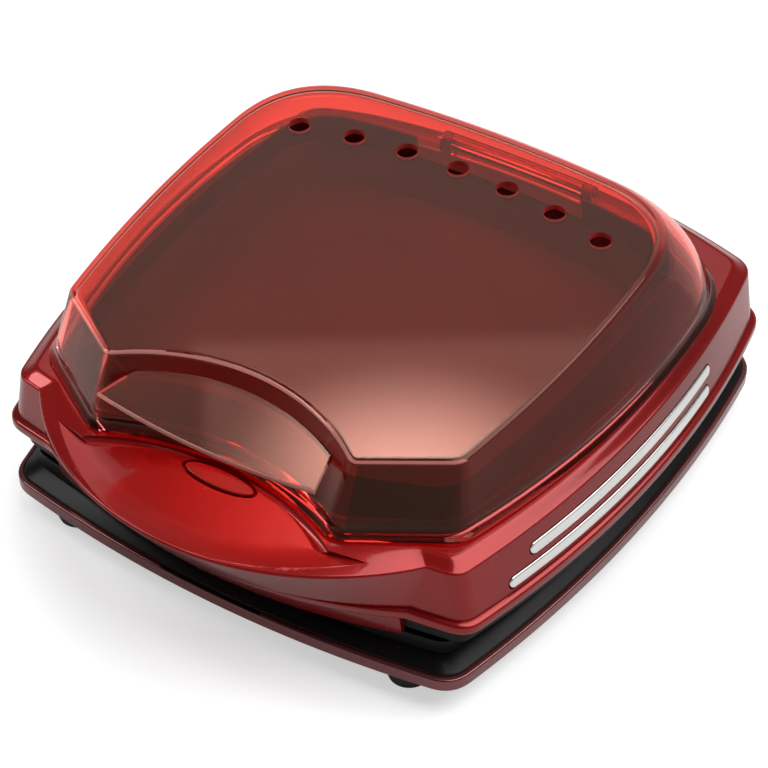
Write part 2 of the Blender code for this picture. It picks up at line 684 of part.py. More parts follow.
def bottom_cover():
    plan = grown(LIP, -BASE_TUCK - WALL - GAP)
    cover = prism("bottom_cover", plan_outline(plan), BASE_FLOOR, BOTTOM_TOP, BLACK)
    slots = []
    for row in (-1, 1):
        for index in range(VENT_SLOT_COUNT):
            x = (index - (VENT_SLOT_COUNT - 1) / 2) * VENT_SLOT_PITCH
            y = row * VENT_SLOT_Y
            slots.append(((x - VENT_SLOT_WIDTH / 2, y - VENT_SLOT_LENGTH / 2, BASE_FLOOR - OVERRUN),
                          (x + VENT_SLOT_WIDTH / 2, y + VENT_SLOT_LENGTH / 2, BOTTOM_TOP + OVERRUN)))
    posts = [(side * REFLECTOR_HALF_WIDTH * POST_PLACE_SHARE, y) for side in (-1, 1)
             for y in (REFLECTOR_FRONT * POST_PLACE_SHARE, REFLECTOR_REAR * POST_PLACE_SHARE)]
    join(cover, holes("reflector_posts", posts, BASE_FLOOR + BOTTOM_THICKNESS / 2,
                      LOWER_REFLECTOR_Z - GAP, BOSS_RADIUS))
    cut(cover, boxes("floor_slots", slots),
        holes("floor_screw_holes", LOWER_SCREW_PLACES, BASE_FLOOR - OVERRUN,
              BOTTOM_TOP + OVERRUN, SCREW_RADIUS + GAP),
        holes("stem_holes", FOOT_PLACES, BASE_FLOOR - OVERRUN, BOTTOM_TOP + OVERRUN,
              FOOT_STEM_RADIUS + GAP))
    return cover


def feet():
    profile = [(0.0, FOOT_HEIGHT + FOOT_STEM), (FOOT_STEM_RADIUS, FOOT_HEIGHT + FOOT_STEM),
               (FOOT_STEM_RADIUS, FOOT_HEIGHT), (FOOT_RADIUS, FOOT_HEIGHT),
               (FOOT_RADIUS, FOOT_HEIGHT / 3), (FOOT_TOE_RADIUS, 0.0), (0.0, 0.0)]
    return [turned("foot_" + corner, profile, (x, y, 0.0), RUBBER)
            for corner, (x, y) in zip(CORNER_NAMES, FOOT_PLACES)]


def screws(names, places, head_low):
    profile = [(0.0, SCREW_HEAD_HEIGHT + SCREW_LENGTH), (SCREW_RADIUS, SCREW_HEAD_HEIGHT + SCREW_LENGTH),
               (SCREW_RADIUS, SCREW_HEAD_HEIGHT), (SCREW_HEAD_RADIUS, SCREW_HEAD_HEIGHT),
               (SCREW_HEAD_RADIUS, SCREW_HEAD_HEIGHT / 3), (SCREW_HEAD_RADIUS * 0.7, 0.0), (0.0, 0.0)]
    return [turned(names + corner, profile, (x, y, head_low), STEEL, steps=SCREW_SIDES)
            for corner, (x, y) in zip(CORNER_NAMES, places)]


def lower_frame():
    frame = prism("lower_frame", plan_outline(grown(LIP, -FRAME_INSET)), FRAME_LOW, PARTING_LINE, BLACK)
    places = LOWER_SCREW_PLACES
    join(frame, holes("lower_bosses", places, BOTTOM_TOP + GAP, LOWER_RIM_LOW - LEDGE_THICKNESS / 2,
                      BOSS_RADIUS))
    cut(frame,
        prism("lower_opening", plate_outline(GAP), FRAME_LOW - OVERRUN, PARTING_LINE),
        prism("lower_rim_seat", plate_outline(RIM_WIDTH + GAP), LOWER_RIM_LOW - GAP,
              PARTING_LINE + OVERRUN),
        holes("lower_boss_holes", places, BOTTOM_TOP - OVERRUN, BOTTOM_TOP + GAP + SCREW_LENGTH,
              SCREW_RADIUS + GAP),
        hinge_clearance("lower_ear_room", HINGE_Y - HINGE_RADIUS - RUNNING_GAP, LIP_LOW, HINGE_Z),
        boxes("lower_inlet_room", [((GLAND_X - INLET_HALF - RUNNING_GAP, INLET_REAR - INLET_DEPTH - RUNNING_GAP,
                                     LIP_LOW), (GLAND_X + INLET_HALF + RUNNING_GAP, INLET_REAR, HINGE_Z))]))
    return frame


def upper_frame():
    frame = prism("upper_frame", plan_outline(grown(BEAD, -BEAD_WALL)), UPPER_FRAME_LOW, FRAME_SEAT - GAP, BLACK)
    places = UPPER_SCREW_PLACES
    well = UPPER_FRAME_LOW + SCREW_WELL
    cut(frame,
        prism("upper_opening", plate_outline(GAP), UPPER_FRAME_LOW, FRAME_SEAT + OVERRUN),
        prism("upper_rim_seat", plate_outline(RIM_WIDTH + GAP), UPPER_FRAME_LOW - OVERRUN,
              UPPER_RIM_LOW + RIM_THICKNESS + GAP),
        holes("upper_wells", places, UPPER_FRAME_LOW - OVERRUN, well, SCREW_HEAD_RADIUS + GAP),
        holes("upper_screw_holes", places, well - OVERRUN, FRAME_SEAT + OVERRUN, SCREW_RADIUS + GAP),
        hinge_clearance("upper_ear_room", HINGE_Y - HINGE_RADIUS - OVERRUN, UPPER_FRAME_LOW - OVERRUN,
                        FRAME_SEAT + OVERRUN))
    knuckle = (HINGE_INNER + EAR_THICKNESS + RUNNING_GAP,
               HINGE_INNER + EAR_THICKNESS + RUNNING_GAP + KNUCKLE_LENGTH)
    web = [(HINGE_Y - HINGE_RADIUS * 2.2, HINGE_Z - HINGE_RADIUS), (HINGE_Y, HINGE_Z - HINGE_RADIUS)]
    web += [(HINGE_Y + HINGE_RADIUS * math.cos(angle), HINGE_Z + HINGE_RADIUS * math.sin(angle))
            for angle in [math.pi * step / FLAT_STEPS / 2 - math.pi / 2 for step in range(1, 2 * FLAT_STEPS + 1)]]
    web.append((HINGE_Y - HINGE_RADIUS * 2.2, HINGE_Z + HINGE_RADIUS))
    join(frame, mirrored_slabs("knuckles", web, [knuckle]))
    cut(frame, cross_holes("knuckle_holes", both_sides(knuckle[0] - OVERRUN, knuckle[1] + OVERRUN),
                           HINGE_Y, HINGE_Z, PIN_RADIUS + RUNNING_GAP))
    return frame


def mould_places():
    return [(side * MOULD_SPACING_X / 2, row * MOULD_SPACING_Y / 2) for row in (-1, 1) for side in (-1, 1)]


def grill_plate(name, rim_low, up, depth):
    """A cast plate with four round moulds; up is 1 where the moulds are pressed upwards."""
    rim_high = rim_low + RIM_THICKNESS
    face, back = (rim_low, rim_high) if up > 0 else (rim_high, rim_low)
    floor = face + up * depth
    plate = loft(name, [at_height(plate_outline(RIM_WIDTH), z) for z in (rim_low, rim_high)],
                 NONSTICK, True)
    bulges, moulds, ribs = bmesh.new(), bmesh.new(), []
    for x, y in mould_places():
        add_cylinder(bulges, *upright((x, y), back - up * RIM_THICKNESS / 2, floor + up * MOULD_WALL,
                                      MOULD_RADIUS + MOULD_WALL, MOULD_RADIUS + MOULD_WALL - MOULD_DRAFT))
        add_cylinder(moulds, *upright((x, y), face - up * OVERRUN, floor,
                                      MOULD_RADIUS + MOULD_DRAFT * OVERRUN / depth, MOULD_RADIUS - MOULD_DRAFT))
        for index in range(RIB_COUNT):
            offset = (index - (RIB_COUNT - 1) / 2) * RIB_PITCH
            half = math.sqrt((MOULD_RADIUS - MOULD_DRAFT) ** 2 - offset ** 2) - RIB_WIDTH
            ends = sorted((floor + up * MOULD_WALL / 2, floor - up * RIB_HEIGHT))
            ribs.append(((x + offset - RIB_WIDTH / 2, y - half, ends[0]),
                         (x + offset + RIB_WIDTH / 2, y + half, ends[1])))
    join(plate, from_bmesh(name + "_bulges", bulges))
    cut(plate, from_bmesh(name + "_moulds", moulds))
    join(plate, boxes(name + "_ribs", ribs))
    return plate


def upright(place, start, end, start_radius, end_radius):
    """Arguments of add_cylinder for a vertical cone, given from either end."""
    if start > end:
        start, end, start_radius, end_radius = end, start, end_radius, start_radius
    return (*place, start), (*place, end), start_radius, ROUND_SEGMENTS, end_radius


def heater(name, z):
    """The U of tubular heating element that lies against the backs of the moulds."""
    side, front, bend = HEATER_HALF_WIDTH, HEATER_FRONT, HEATER_BEND
    points = [(side, HEATER_REAR, z)]
    for step in range(ROUND_SEGMENTS // 4 + 1):
        angle = math.pi / 2 * step / (ROUND_SEGMENTS // 4)
        points.append((side - bend + bend * math.cos(angle), front + bend - bend * math.sin(angle), z))
    points += [(-x, y, height) for x, y, height in reversed(points)]
    return tube(name, points, HEATER_DIAMETER / 2, STEEL)


def lower_reflector():
    half, front, rear = REFLECTOR_HALF_WIDTH, REFLECTOR_FRONT, REFLECTOR_REAR
    low = LOWER_REFLECTOR_Z
    pan = loft("lower_reflector", [
        at_height(outline([(half - by, front + by, HEATER_BEND / 4), (half - by, rear - by, HEATER_BEND / 4)],
                          [0.0, 0.0, 0.0], [1, 1, 1]), z)
        for z, by in ((low, REFLECTOR_LIP / 2), (low + REFLECTOR_LIP, 0.0))], SHEET_METAL)
    cut(pan, loft("lower_reflector_hollow", [
        at_height(outline([(half - by, front + by, HEATER_BEND / 4), (half - by, rear - by, HEATER_BEND / 4)],
                          [0.0, 0.0, 0.0], [1, 1, 1]), z)
        for z, by in ((low + SHEET, REFLECTOR_LIP / 2 + SHEET), (low + REFLECTOR_LIP + OVERRUN, SHEET))]))
    return pan


def upper_reflector():
    return prism("upper_reflector", plate_outline(RIM_WIDTH * 1.5), FRAME_SEAT,
                 FRAME_SEAT + SHEET, SHEET_METAL)


def thermostat(name, seat, up):
    """A disc thermostat against the back of a plate; up is 1 above its plate."""
    cap, body = THERMOSTAT_CAP, THERMOSTAT_RADIUS
    profile = [(0.0, THERMOSTAT_HEIGHT), (cap, THERMOSTAT_HEIGHT), (body, THERMOSTAT_HEIGHT * 0.7),
               (body, 0.0), (0.0, 0.0)]
    turn = (0.0, 0.0, 0.0) if up > 0 else (math.pi, 0.0, 0.0)
    return turned(name, profile, (0.0, 0.0, seat + up * GAP), CERAMIC, turn)


def thermal_fuse(name, seat, up):
    z = seat + up * (GAP + FUSE_RADIUS)
    return cylinders(name, [((0.0, FUSE_Y - FUSE_LENGTH / 2, z), (0.0, FUSE_Y + FUSE_LENGTH / 2, z),
                             FUSE_RADIUS)], STEEL, SMALL_SEGMENTS, True)


def terminal_block():
    low = BOTTOM_TOP + GAP
    block = boxes("terminal_block", [((-BLOCK_WIDTH / 2, BLOCK_Y - BLOCK_DEPTH / 2, low),
                                      (BLOCK_WIDTH / 2, BLOCK_Y + BLOCK_DEPTH / 2, low + BLOCK_HEIGHT))], CERAMIC)
    pockets = []
    for index in (-1, 0, 1):
        x = index * BLOCK_WIDTH / 3
        pockets.append(((x, BLOCK_Y, low + BLOCK_HEIGHT / 2), (x, BLOCK_Y, low + BLOCK_HEIGHT + OVERRUN),
                        BLOCK_WIDTH / 8))
    cut(block, cylinders("terminal_pockets", pockets, None, SCREW_SIDES))
    return block


def cord_gland():
    inside = -WALL - GAP
    profile = [(GLAND_NOSE, GLAND_LENGTH), (GLAND_COLLAR, WALL / 2 + GAP), (GLAND_COLLAR, GAP),
               (GLAND_RADIUS, GAP), (GLAND_RADIUS, inside), (GLAND_COLLAR, inside),
               (GLAND_RADIUS, inside - WALL / 2), (GLAND_BORE, inside - WALL / 2), (GLAND_BORE, GLAND_LENGTH)]
    return turned("cord_gland", profile, (GLAND_X, INLET_REAR, GLAND_Z), RUBBER, (-math.pi / 2, 0.0, 0.0))


def hinge_pins():
    length = HINGE_OUTER - HINGE_INNER
    profile = [(0.0, length + GAP + PIN_HEAD_LENGTH), (PIN_HEAD_RADIUS * 0.8, length + GAP + PIN_HEAD_LENGTH),
               (PIN_HEAD_RADIUS, length + GAP + PIN_HEAD_LENGTH / 2), (PIN_HEAD_RADIUS, length + GAP),
               (PIN_RADIUS, length + GAP), (PIN_RADIUS, -PIN_HEAD_LENGTH), (0.0, -PIN_HEAD_LENGTH)]
    return [turned("lid_hinge_pin_" + word, profile, (side * HINGE_INNER, HINGE_Y, HINGE_Z), STEEL,
                   (0.0, side * math.pi / 2, 0.0)) for word, side in (("left", -1), ("right", 1))]


SKIRT = grown(BEAD, -SKIRT_STEP)


def between(first, second, share):
    return first._replace(**{field: a + (b - a) * share
                             for field, a, b in zip(first._fields, first, second)})


def tongue_at(z, inset=0.0):
    """Half width and apex of the handle's bulge at a height, on its straight leaning front."""
    share = (z - APRON_LOW) / (CREASE_HEIGHT - CREASE_ROUND - APRON_LOW)
    return (APRON_HALF + (TONGUE_HALF - APRON_HALF) * share - inset,
            APRON_APEX + (TONGUE_APEX - APRON_APEX) * share + inset)


def skirt_at(z):
    return between(SKIRT, CREASE, (z - BEAD_HIGH) / (CREASE_HEIGHT - CREASE_ROUND - BEAD_HIGH))


def lid_ring(plan, z, tongue):
    return at_height(plan_outline(plan, tongue), z)


def lid_shell():
    crease_z = CREASE_HEIGHT - CREASE_ROUND
    steps = [(grown(BEAD, -BEAD_WALL / 2), APRON_LOW), (grown(BEAD, -BEAD_ROUND), BEAD_LOW),
             (BEAD, BEAD_LOW + BEAD_ROUND), (BEAD, BEAD_HIGH - BEAD_ROUND),
             (SKIRT, BEAD_HIGH), (CREASE, crease_z)]
    rings = [lid_ring(plan, z, tongue_at(z)) for plan, z in steps]
    half, apex = tongue_at(crease_z)
    rings.append(lid_ring(grown(CREASE, -CREASE_ROUND), CREASE_HEIGHT, (half - CREASE_ROUND, apex + CREASE_ROUND)))
    rings.append(lid_ring(grown(CREASE, -DECK_EDGE), DECK_HEIGHT, (half - DECK_EDGE, DECK_TONGUE_APEX)))
    shell = loft("lid_shell", rings, RED, True)
    far = LIP.half_rear + LIP.bow_side * 2
    back = LIP.rear + LIP.bow_rear * 2
    apron_back = BEAD.front + SKIRT_STEP
    cut(shell,
        boxes("under_bead", [((-far, apron_back, APRON_LOW - OVERRUN), (far, back, BEAD_LOW))]),
        boxes("beside_apron", [((low, TONGUE_APEX, APRON_LOW - OVERRUN), (high, apron_back + OVERRUN, BEAD_LOW))
                               for low, high in both_sides(APRON_HALF, far)]),
        lid_hollow())
    join(shell, holes("lid_bosses", UPPER_SCREW_PLACES, FRAME_SEAT,
                      ROOF_MIDDLE + WALL / 2, BOSS_RADIUS),
         mirrored_slabs("cover_lugs", ear_profile(COVER_HINGE_Y, COVER_HINGE_Z, COVER_HINGE_RADIUS,
                                                  DECK_HEIGHT - WALL / 2, COVER_HINGE_RADIUS), [COVER_LUG]))
    cut(shell,
        loft("dish", [dish_ring(DISH_LOW, DISH_FRONT_LOW, 0.0), dish_ring(DISH_HIGH, DISH_FRONT_HIGH, DISH_DEPTH),
                      dish_ring(DISH_HIGH, DISH_FRONT_HIGH, DISH_DEPTH * 3)]),
        prism("tray_opening", tray_outline(cover_grown(TRAY_SEAT, GAP)), TRAY_BOTTOM - OVERRUN,
              DECK_HEIGHT + OVERRUN),
        holes("boss_holes", UPPER_SCREW_PLACES, FRAME_SEAT - OVERRUN,
              UPPER_FRAME_LOW + SCREW_WELL + SCREW_LENGTH, SCREW_RADIUS + GAP),
        hinge_clearance("hinge_slots", HINGE_Y - HINGE_RADIUS - OVERRUN, APRON_LOW, HINGE_SLOT_TOP),
        cross_holes("lug_holes", both_sides(COVER_LUG[0] - OVERRUN, COVER_LUG[1] + OVERRUN),
                    COVER_HINGE_Y, COVER_HINGE_Z, ROD_RADIUS + GAP),
        lens_solid("lens_pocket", GAP, OVERRUN * 2),
        boxes("lamp_slot", [((-LAMP_SLOT_HALF, LENS_Y - LAMP_SLOT_DEPTH / 2, GRIP_ROOF - OVERRUN),
                             (LAMP_SLOT_HALF, LENS_Y + LAMP_SLOT_DEPTH / 2, DISH_FLOOR + DISH_DEPTH / 2))]),
        *[strip(row, side, GAP) for row in (0, 1) for side in (-1, 1)])
    return shell


def lid_hollow():
    """Everything inside the lid: behind the apron and under the grip, then up to the deck."""
    low = grown(BEAD, -BEAD_WALL + GAP)
    step = grown(skirt_at(GRIP_ROOF), -WALL)
    half = APRON_HALF - WALL
    rings = [lid_ring(plan, z, (half, tongue_at(z, WALL)[1]))
             for plan, z in ((low, APRON_LOW - OVERRUN), (low, BEAD_HIGH), (step, GRIP_ROOF))]
    flat = {"front": GRIP_BACK, "bow_front": WALL}
    rings.append(lid_ring(step._replace(**flat), GRIP_ROOF, None))
    rings.append(lid_ring(grown(CREASE, -WALL)._replace(**flat), ROOF_EDGE, None))
    rings.append(lid_ring(grown(CREASE, -ROOF_RUN)._replace(front=GRIP_BACK + WALL, bow_front=WALL),
                          ROOF_MIDDLE, None))
    return loft("lid_hollow", rings)


def dish_ring(ends, front_apex, rise):
    (wide, wide_y), (near, near_y) = ends
    points = outline([(wide, wide_y, 0.0), (near, near_y, 0.0)],
                     [wide_y - front_apex, 0.0, near_y - DISH_REAR], [FRONT_STEPS, 1, FRONT_STEPS])
    return at_height(points, DISH_FLOOR + rise, DISH_SLOPE_SHARE, DISH_FRONT_LOW)


def dish_floor_at(y):
    return DISH_FLOOR + DISH_SLOPE_SHARE * (y - DISH_FRONT_LOW)


def lens_solid(name, clearance, rise, finish=None):
    """The oval window, parallel to the dish floor, or with a clearance its pocket."""
    count = ROUND_SEGMENTS
    rings = []
    for depth in (LENS_PROUD - LENS_THICKNESS - clearance, rise if clearance else LENS_PROUD):
        ring = []
        for step in range(count):
            angle = 2 * math.pi * step / count
            x = (LENS_LENGTH / 2 + clearance) * math.cos(angle)
            y = LENS_Y + (LENS_WIDTH / 2 + clearance) * math.sin(angle)
            ring.append((x, y, dish_floor_at(y) + depth))
        rings.append(ring)
    return loft(name, rings, finish, finish is not None)


def lamps():
    made = []
    low = GRIP_ROOF - GAP - LAMP_SOCKET
    length = dish_floor_at(LENS_Y) + LENS_PROUD - LENS_THICKNESS - LAMP_CLEARANCE - low - GAP
    for name, side, finish in (("power_lamp", -1, LAMP_RED), ("ready_lamp", 1, LAMP_GREEN)):
        profile = [(0.0, length), (LAMP_RADIUS / 2, length - LAMP_RADIUS / 8),
                   (LAMP_RADIUS, length - LAMP_RADIUS), (LAMP_RADIUS, 0.0), (0.0, 0.0)]
        made.append(turned(name, profile, (side * LAMP_SPACING / 2, LENS_Y, low + GAP), finish))
    holder = boxes("lamp_holder", [((-LAMP_HOLDER_HALF, LENS_Y - LAMP_HOLDER_DEPTH / 2,
                                     GRIP_ROOF - GAP - LAMP_HOLDER_HEIGHT),
                                    (LAMP_HOLDER_HALF, LENS_Y + LAMP_HOLDER_DEPTH / 2, GRIP_ROOF - GAP))], BLACK)
    cut(holder, holes("lamp_sockets", [(side * LAMP_SPACING / 2, LENS_Y) for side in (-1, 1)], low,
                      GRIP_ROOF + OVERRUN, LAMP_RADIUS + GAP))
    return made + [holder]


def skirt_x(y, z):
    """Half width of the skirt at a place along the side."""
    plan = skirt_at(z)
    share = (y - plan.front) / (plan.rear - plan.front)
    return plan.half_front + (plan.half_rear - plan.half_front) * share + plan.bow_side * 4 * share * (1 - share)


def strip(row, side, clearance, finish=None, turns=2):
    """A chrome bar along the skirt, with round ends, or with a clearance its groove."""
    name = ("upper" if row == 0 else "lower") + "_strip_" + ("left" if side < 0 else "right")
    z = BEAD_HIGH + STRIP_RISES[row]
    front = CREASE.front + STRIP_FRONT_INSETS[row] - clearance
    rear = CREASE.rear - STRIP_REAR_INSETS[row] + clearance
    half = STRIP_WIDTH / 2 + clearance
    stops = [front + half * (1 - math.cos(math.pi / 2 * step / turns)) for step in range(turns)]
    count = STRIP_STEPS
    stops += [front + half + (rear - front - 2 * half) * step / count for step in range(count + 1)]
    stops += [rear - half * (1 - math.cos(math.pi / 2 * step / turns)) for step in reversed(range(turns))]
    proud = STRIP_PROUD + (OVERRUN if clearance else 0.0)
    rings = []
    for y in stops:
        reach = min(y - front, rear - y, half)
        tall = max(math.sqrt(max(half ** 2 - (half - reach) ** 2, 0.0)), half * STRIP_FLAT_SHARE)
        lean = (skirt_x(y, z + half) - skirt_x(y, z - half)) / (2 * half)
        face = skirt_x(y, z)
        back = STRIP_PROUD - STRIP_DEPTH - clearance
        flat, edge = tall * STRIP_FLAT_SHARE, proud * STRIP_EDGE_SHARE
        section = [(back, -tall), (edge, -tall), (proud, -flat), (proud, flat), (edge, tall), (back, tall)]
        if clearance:
            section = [(back, -tall), (proud, -tall), (proud, tall), (back, tall)]
        rings.append([(side * (face + out + lean * up), y, z + up) for out, up in section])
    return loft(name + ("_groove" if clearance else ""), rings, finish, finish is not None)


def cover_grown(plan, by):
    return plan._replace(apex=plan.apex - by, nose_half=plan.nose_half + by / 4, nose_y=plan.nose_y - by,
                         corner_half=plan.corner_half + by, corner_y=plan.corner_y - by * CORNER_GROWTH_SHARE,
                         rear_half=plan.rear_half + by, rear_y=plan.rear_y + by,
                         rear_middle=plan.rear_middle + by)


def cover_outline(plan, front_steps=FRONT_STEPS, side_steps=SIDE_STEPS):
    corners = [(plan.nose_half, plan.nose_y, plan.cut_nose), (plan.corner_half, plan.corner_y, plan.cut_corner),
               (plan.rear_half, plan.rear_y, plan.cut_rear)]
    return outline(corners, [plan.nose_y - plan.apex, 0.0, plan.bow_side, plan.rear_middle - plan.rear_y],
                   [front_steps, 2, side_steps, side_steps], CORNER_STEPS + 1)


def tray_outline(plan):
    return cover_outline(plan, 2 * FLAT_STEPS, FLAT_STEPS)


COVER_WALL_FOOT = cover_grown(COVER_FOOT, -COVER_FLARE)
COVER_WALL_LOW = COVER_LOW + COVER_FLANGE + COVER_FLARE_RISE


def cover_ring(share, inset=0.0, drop=0.0, rear=None):
    """The cover's wall at a share of its height, from the flare to the top."""
    plan = between(COVER_WALL_FOOT, COVER_TOP, share)
    if rear:
        plan = plan._replace(rear_middle=rear[0], rear_y=rear[1])
    height = COVER_WALL_LOW + (COVER_FRONT_HEIGHT - COVER_WALL_LOW) * share
    return at_height(cover_outline(cover_grown(plan, -inset)), height - drop, COVER_SLOPE_SHARE * share,
                     COVER_LEVEL_Y)


def cover_rings(inset, drop):
    height = COVER_FRONT_HEIGHT - COVER_WALL_LOW
    rounds = [(1 - down / height, middle, corner) for down, middle, corner in
              zip(REAR_ROUND_DROPS, REAR_ROUND_MIDDLES, REAR_ROUND_CORNERS)]
    rings = [cover_ring(0.0, inset)]
    rings += [cover_ring(share, inset, drop * share, (middle, corner)) for share, middle, corner in rounds]
    if drop:
        return rings + [cover_ring(1.0, inset, drop)]
    below = COVER_EDGE * TOP_DROP_SHARE
    rings.append(cover_ring(1 - COVER_EDGE / height, inset, drop,
                            (COVER_TOP.rear_middle + below, COVER_TOP.rear_y + below)))
    return rings + [cover_ring(1.0, inset + COVER_EDGE)]


def bun_cover():
    foot = cover_outline(COVER_FOOT)
    cover = loft("bun_cover", [at_height(foot, COVER_LOW), at_height(foot, COVER_LOW + COVER_FLANGE)]
                 + cover_rings(0.0, 0.0), CLEAR_RED, True)
    inner = cover_outline(cover_grown(COVER_WALL_FOOT, -COVER_WALL))
    hollow = loft("cover_hollow", [at_height(inner, COVER_LOW - OVERRUN)] + cover_rings(COVER_WALL, COVER_WALL))
    barrel = cross_holes("cover_barrel", [(-BARREL_HALF, BARREL_HALF)], COVER_HINGE_Y, COVER_HINGE_Z,
                         COVER_HINGE_RADIUS)
    tab = loft("tab_blank", [tab_ring(TAB_HEIGHT - TAB_THICKNESS), tab_ring(TAB_HEIGHT)])
    cut(cover, hollow)
    join(cover, barrel, tab)
    cut(cover,
        boxes("lug_slots", [((low, COVER_HINGE_Y - COVER_HINGE_RADIUS - RUNNING_GAP, COVER_LOW - OVERRUN),
                             (high, COVER_HINGE_Y + INLET_DEPTH, COVER_HINGE_Z + COVER_HINGE_RADIUS + RUNNING_GAP))
                            for low, high in both_sides(COVER_LUG[0] - RUNNING_GAP, COVER_LUG[1] + RUNNING_GAP)]),
        cross_holes("barrel_bore", [(-BARREL_HALF - OVERRUN, BARREL_HALF + OVERRUN)], COVER_HINGE_Y,
                    COVER_HINGE_Z, ROD_RADIUS + GAP),
        holes("vent_holes", vent_places(), COVER_FRONT_HEIGHT - COVER_WALL, COVER_FRONT_HEIGHT + INLET_DEPTH,
              VENT_RADIUS))
    return cover


def vent_places():
    middle = (VENT_COUNT - 1) / 2
    return [((index - middle) * VENT_SPACING, VENT_MIDDLE_Y - VENT_BOW * ((index - middle) / middle) ** 2)
            for index in range(VENT_COUNT)]


def tab_ring(z):
    points = outline([(TAB_HALF_FRONT, TAB_END_FRONT, 0.0), (TAB_HALF_REAR, TAB_END_REAR, 0.0)],
                     [TAB_BOW_FRONT, 0.0, TAB_APEX - TAB_END_REAR], [FRONT_STEPS, 1, FRONT_STEPS])
    return at_height(points, z)


def cover_hinge_rod():
    end = COVER_LUG[1] + ROD_RADIUS / 2
    ends = [(x, COVER_HINGE_Y, COVER_HINGE_Z) for x in (-end, end)]
    return cylinders("cover_hinge_rod", [(*ends, ROD_RADIUS)], STEEL, SMALL_SEGMENTS, True)


def bun_tray():
    tray = loft("bun_tray", [
        at_height(tray_outline(TRAY_FOOT), TRAY_BOTTOM), at_height(tray_outline(TRAY_SEAT), COVER_LOW),
        at_height(tray_outline(cover_grown(TRAY_SEAT, TRAY_FLANGE)), COVER_LOW),
        at_height(tray_outline(cover_grown(TRAY_SEAT, TRAY_FLANGE)), COVER_LOW + TRAY_WALL),
        at_height(tray_outline(cover_grown(TRAY_SEAT, TRAY_WALL / 2)), COVER_LOW + TRAY_WALL),
        at_height(tray_outline(TRAY_RIM), TRAY_RIM_HEIGHT)], TRAY_DARK, True)
    cut(tray,
        loft("tray_hollow", [
            at_height(tray_outline(cover_grown(TRAY_FOOT, -TRAY_WALL)), TRAY_FLOOR),
            at_height(tray_outline(cover_grown(TRAY_SEAT, -TRAY_WALL)), COVER_LOW + TRAY_WALL),
            at_height(tray_outline(cover_grown(TRAY_RIM, -TRAY_WALL)), TRAY_RIM_HEIGHT + OVERRUN)]),
        boxes("tray_notch", [((-NOTCH_HALF, TRAY_SEAT.rear_y / 2, NOTCH_LOW),
                              (NOTCH_HALF, TRAY_SEAT.rear_middle + INLET_DEPTH, TRAY_RIM_HEIGHT + OVERRUN * 2))]))
    return tray


def axis_empty(name, place, parent=None):
    empty = bpy.data.objects.new(name, None)
    empty.location = place
    PARTS.objects.link(empty)
    if parent:
        empty.parent = parent
        empty.matrix_parent_inverse = Matrix.Translation(parent.location).inverted()
    return empty


def carry(empty, pieces):
    """Parents pieces to a joint's empty and leaves them where they are."""
    for piece in pieces:
        piece.parent = empty
        piece.matrix_parent_inverse = Matrix.Translation(empty.location).inverted()


def base():
    base_shell()
    bottom_cover()
    feet()
    screws("base_screw_", LOWER_SCREW_PLACES, BASE_FLOOR - GAP - SCREW_HEAD_HEIGHT)
    lower_frame()
    grill_plate("lower_grill_plate", LOWER_RIM_LOW, -1, MOULD_DEPTH_LOWER)
    heater("lower_heater", LOWER_HEATER_Z)
    lower_reflector()
    thermostat("lower_thermostat", LOWER_RIM_LOW, -1)
    thermal_fuse("lower_thermal_fuse", LOWER_RIM_LOW, -1)
    terminal_block()
    cord_gland()
    hinge_pins()


def lid():
    pieces = [lid_shell(), upper_frame(), grill_plate("upper_grill_plate", UPPER_RIM_LOW, 1, MOULD_DEPTH_UPPER),
              heater("upper_heater", UPPER_HEATER_Z), upper_reflector(),
              thermostat("upper_thermostat", UPPER_RIM_LOW + RIM_THICKNESS, 1),
              thermal_fuse("upper_thermal_fuse", UPPER_RIM_LOW + RIM_THICKNESS, 1),
              lens_solid("indicator_lens", 0.0, 0.0, LENS_RED), bun_tray(), cover_hinge_rod()]
    pieces += [strip(row, side, 0.0, CHROME) for row in (0, 1) for side in (-1, 1)]
    pieces += lamps()
    pieces += screws("lid_screw_", UPPER_SCREW_PLACES,
                     UPPER_FRAME_LOW + SCREW_WELL - SCREW_HEAD_HEIGHT - GAP)
    return pieces


base()
lid_axis = axis_empty("lid_hinge_axis", (0.0, HINGE_Y, HINGE_Z))
cover_axis = axis_empty("cover_hinge_axis", (0.0, COVER_HINGE_Y, COVER_HINGE_Z), lid_axis)
carry(lid_axis, lid())
carry(cover_axis, [bun_cover()])
for item in list(PARTS.objects) + list(CUTTERS.objects):
    if item.parent is None:
        item.location.y += ORIGIN_SHIFT
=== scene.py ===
# A countertop burger maker with a bun warming chamber on its lid.
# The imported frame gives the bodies. This script draws the visible pieces finely and finishes every surface.
# Metres, +Z up, +X the machine's right, the handle points to -Y.
import math

import bmesh
import bpy
from mathutils import Matrix, Vector


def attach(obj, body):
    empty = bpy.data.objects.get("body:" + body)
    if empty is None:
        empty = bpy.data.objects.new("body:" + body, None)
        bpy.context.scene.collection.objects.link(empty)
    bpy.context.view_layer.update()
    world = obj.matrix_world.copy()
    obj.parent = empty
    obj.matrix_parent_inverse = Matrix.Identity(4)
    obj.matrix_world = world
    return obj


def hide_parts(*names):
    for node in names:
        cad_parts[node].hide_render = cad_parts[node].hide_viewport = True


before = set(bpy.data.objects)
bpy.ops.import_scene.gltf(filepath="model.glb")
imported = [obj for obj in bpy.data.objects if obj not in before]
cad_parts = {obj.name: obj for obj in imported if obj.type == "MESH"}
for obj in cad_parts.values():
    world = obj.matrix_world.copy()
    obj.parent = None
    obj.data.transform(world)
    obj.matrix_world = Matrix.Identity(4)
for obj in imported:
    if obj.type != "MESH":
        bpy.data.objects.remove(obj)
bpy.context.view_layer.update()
print("frame loaded:", len(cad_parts), "nodes")

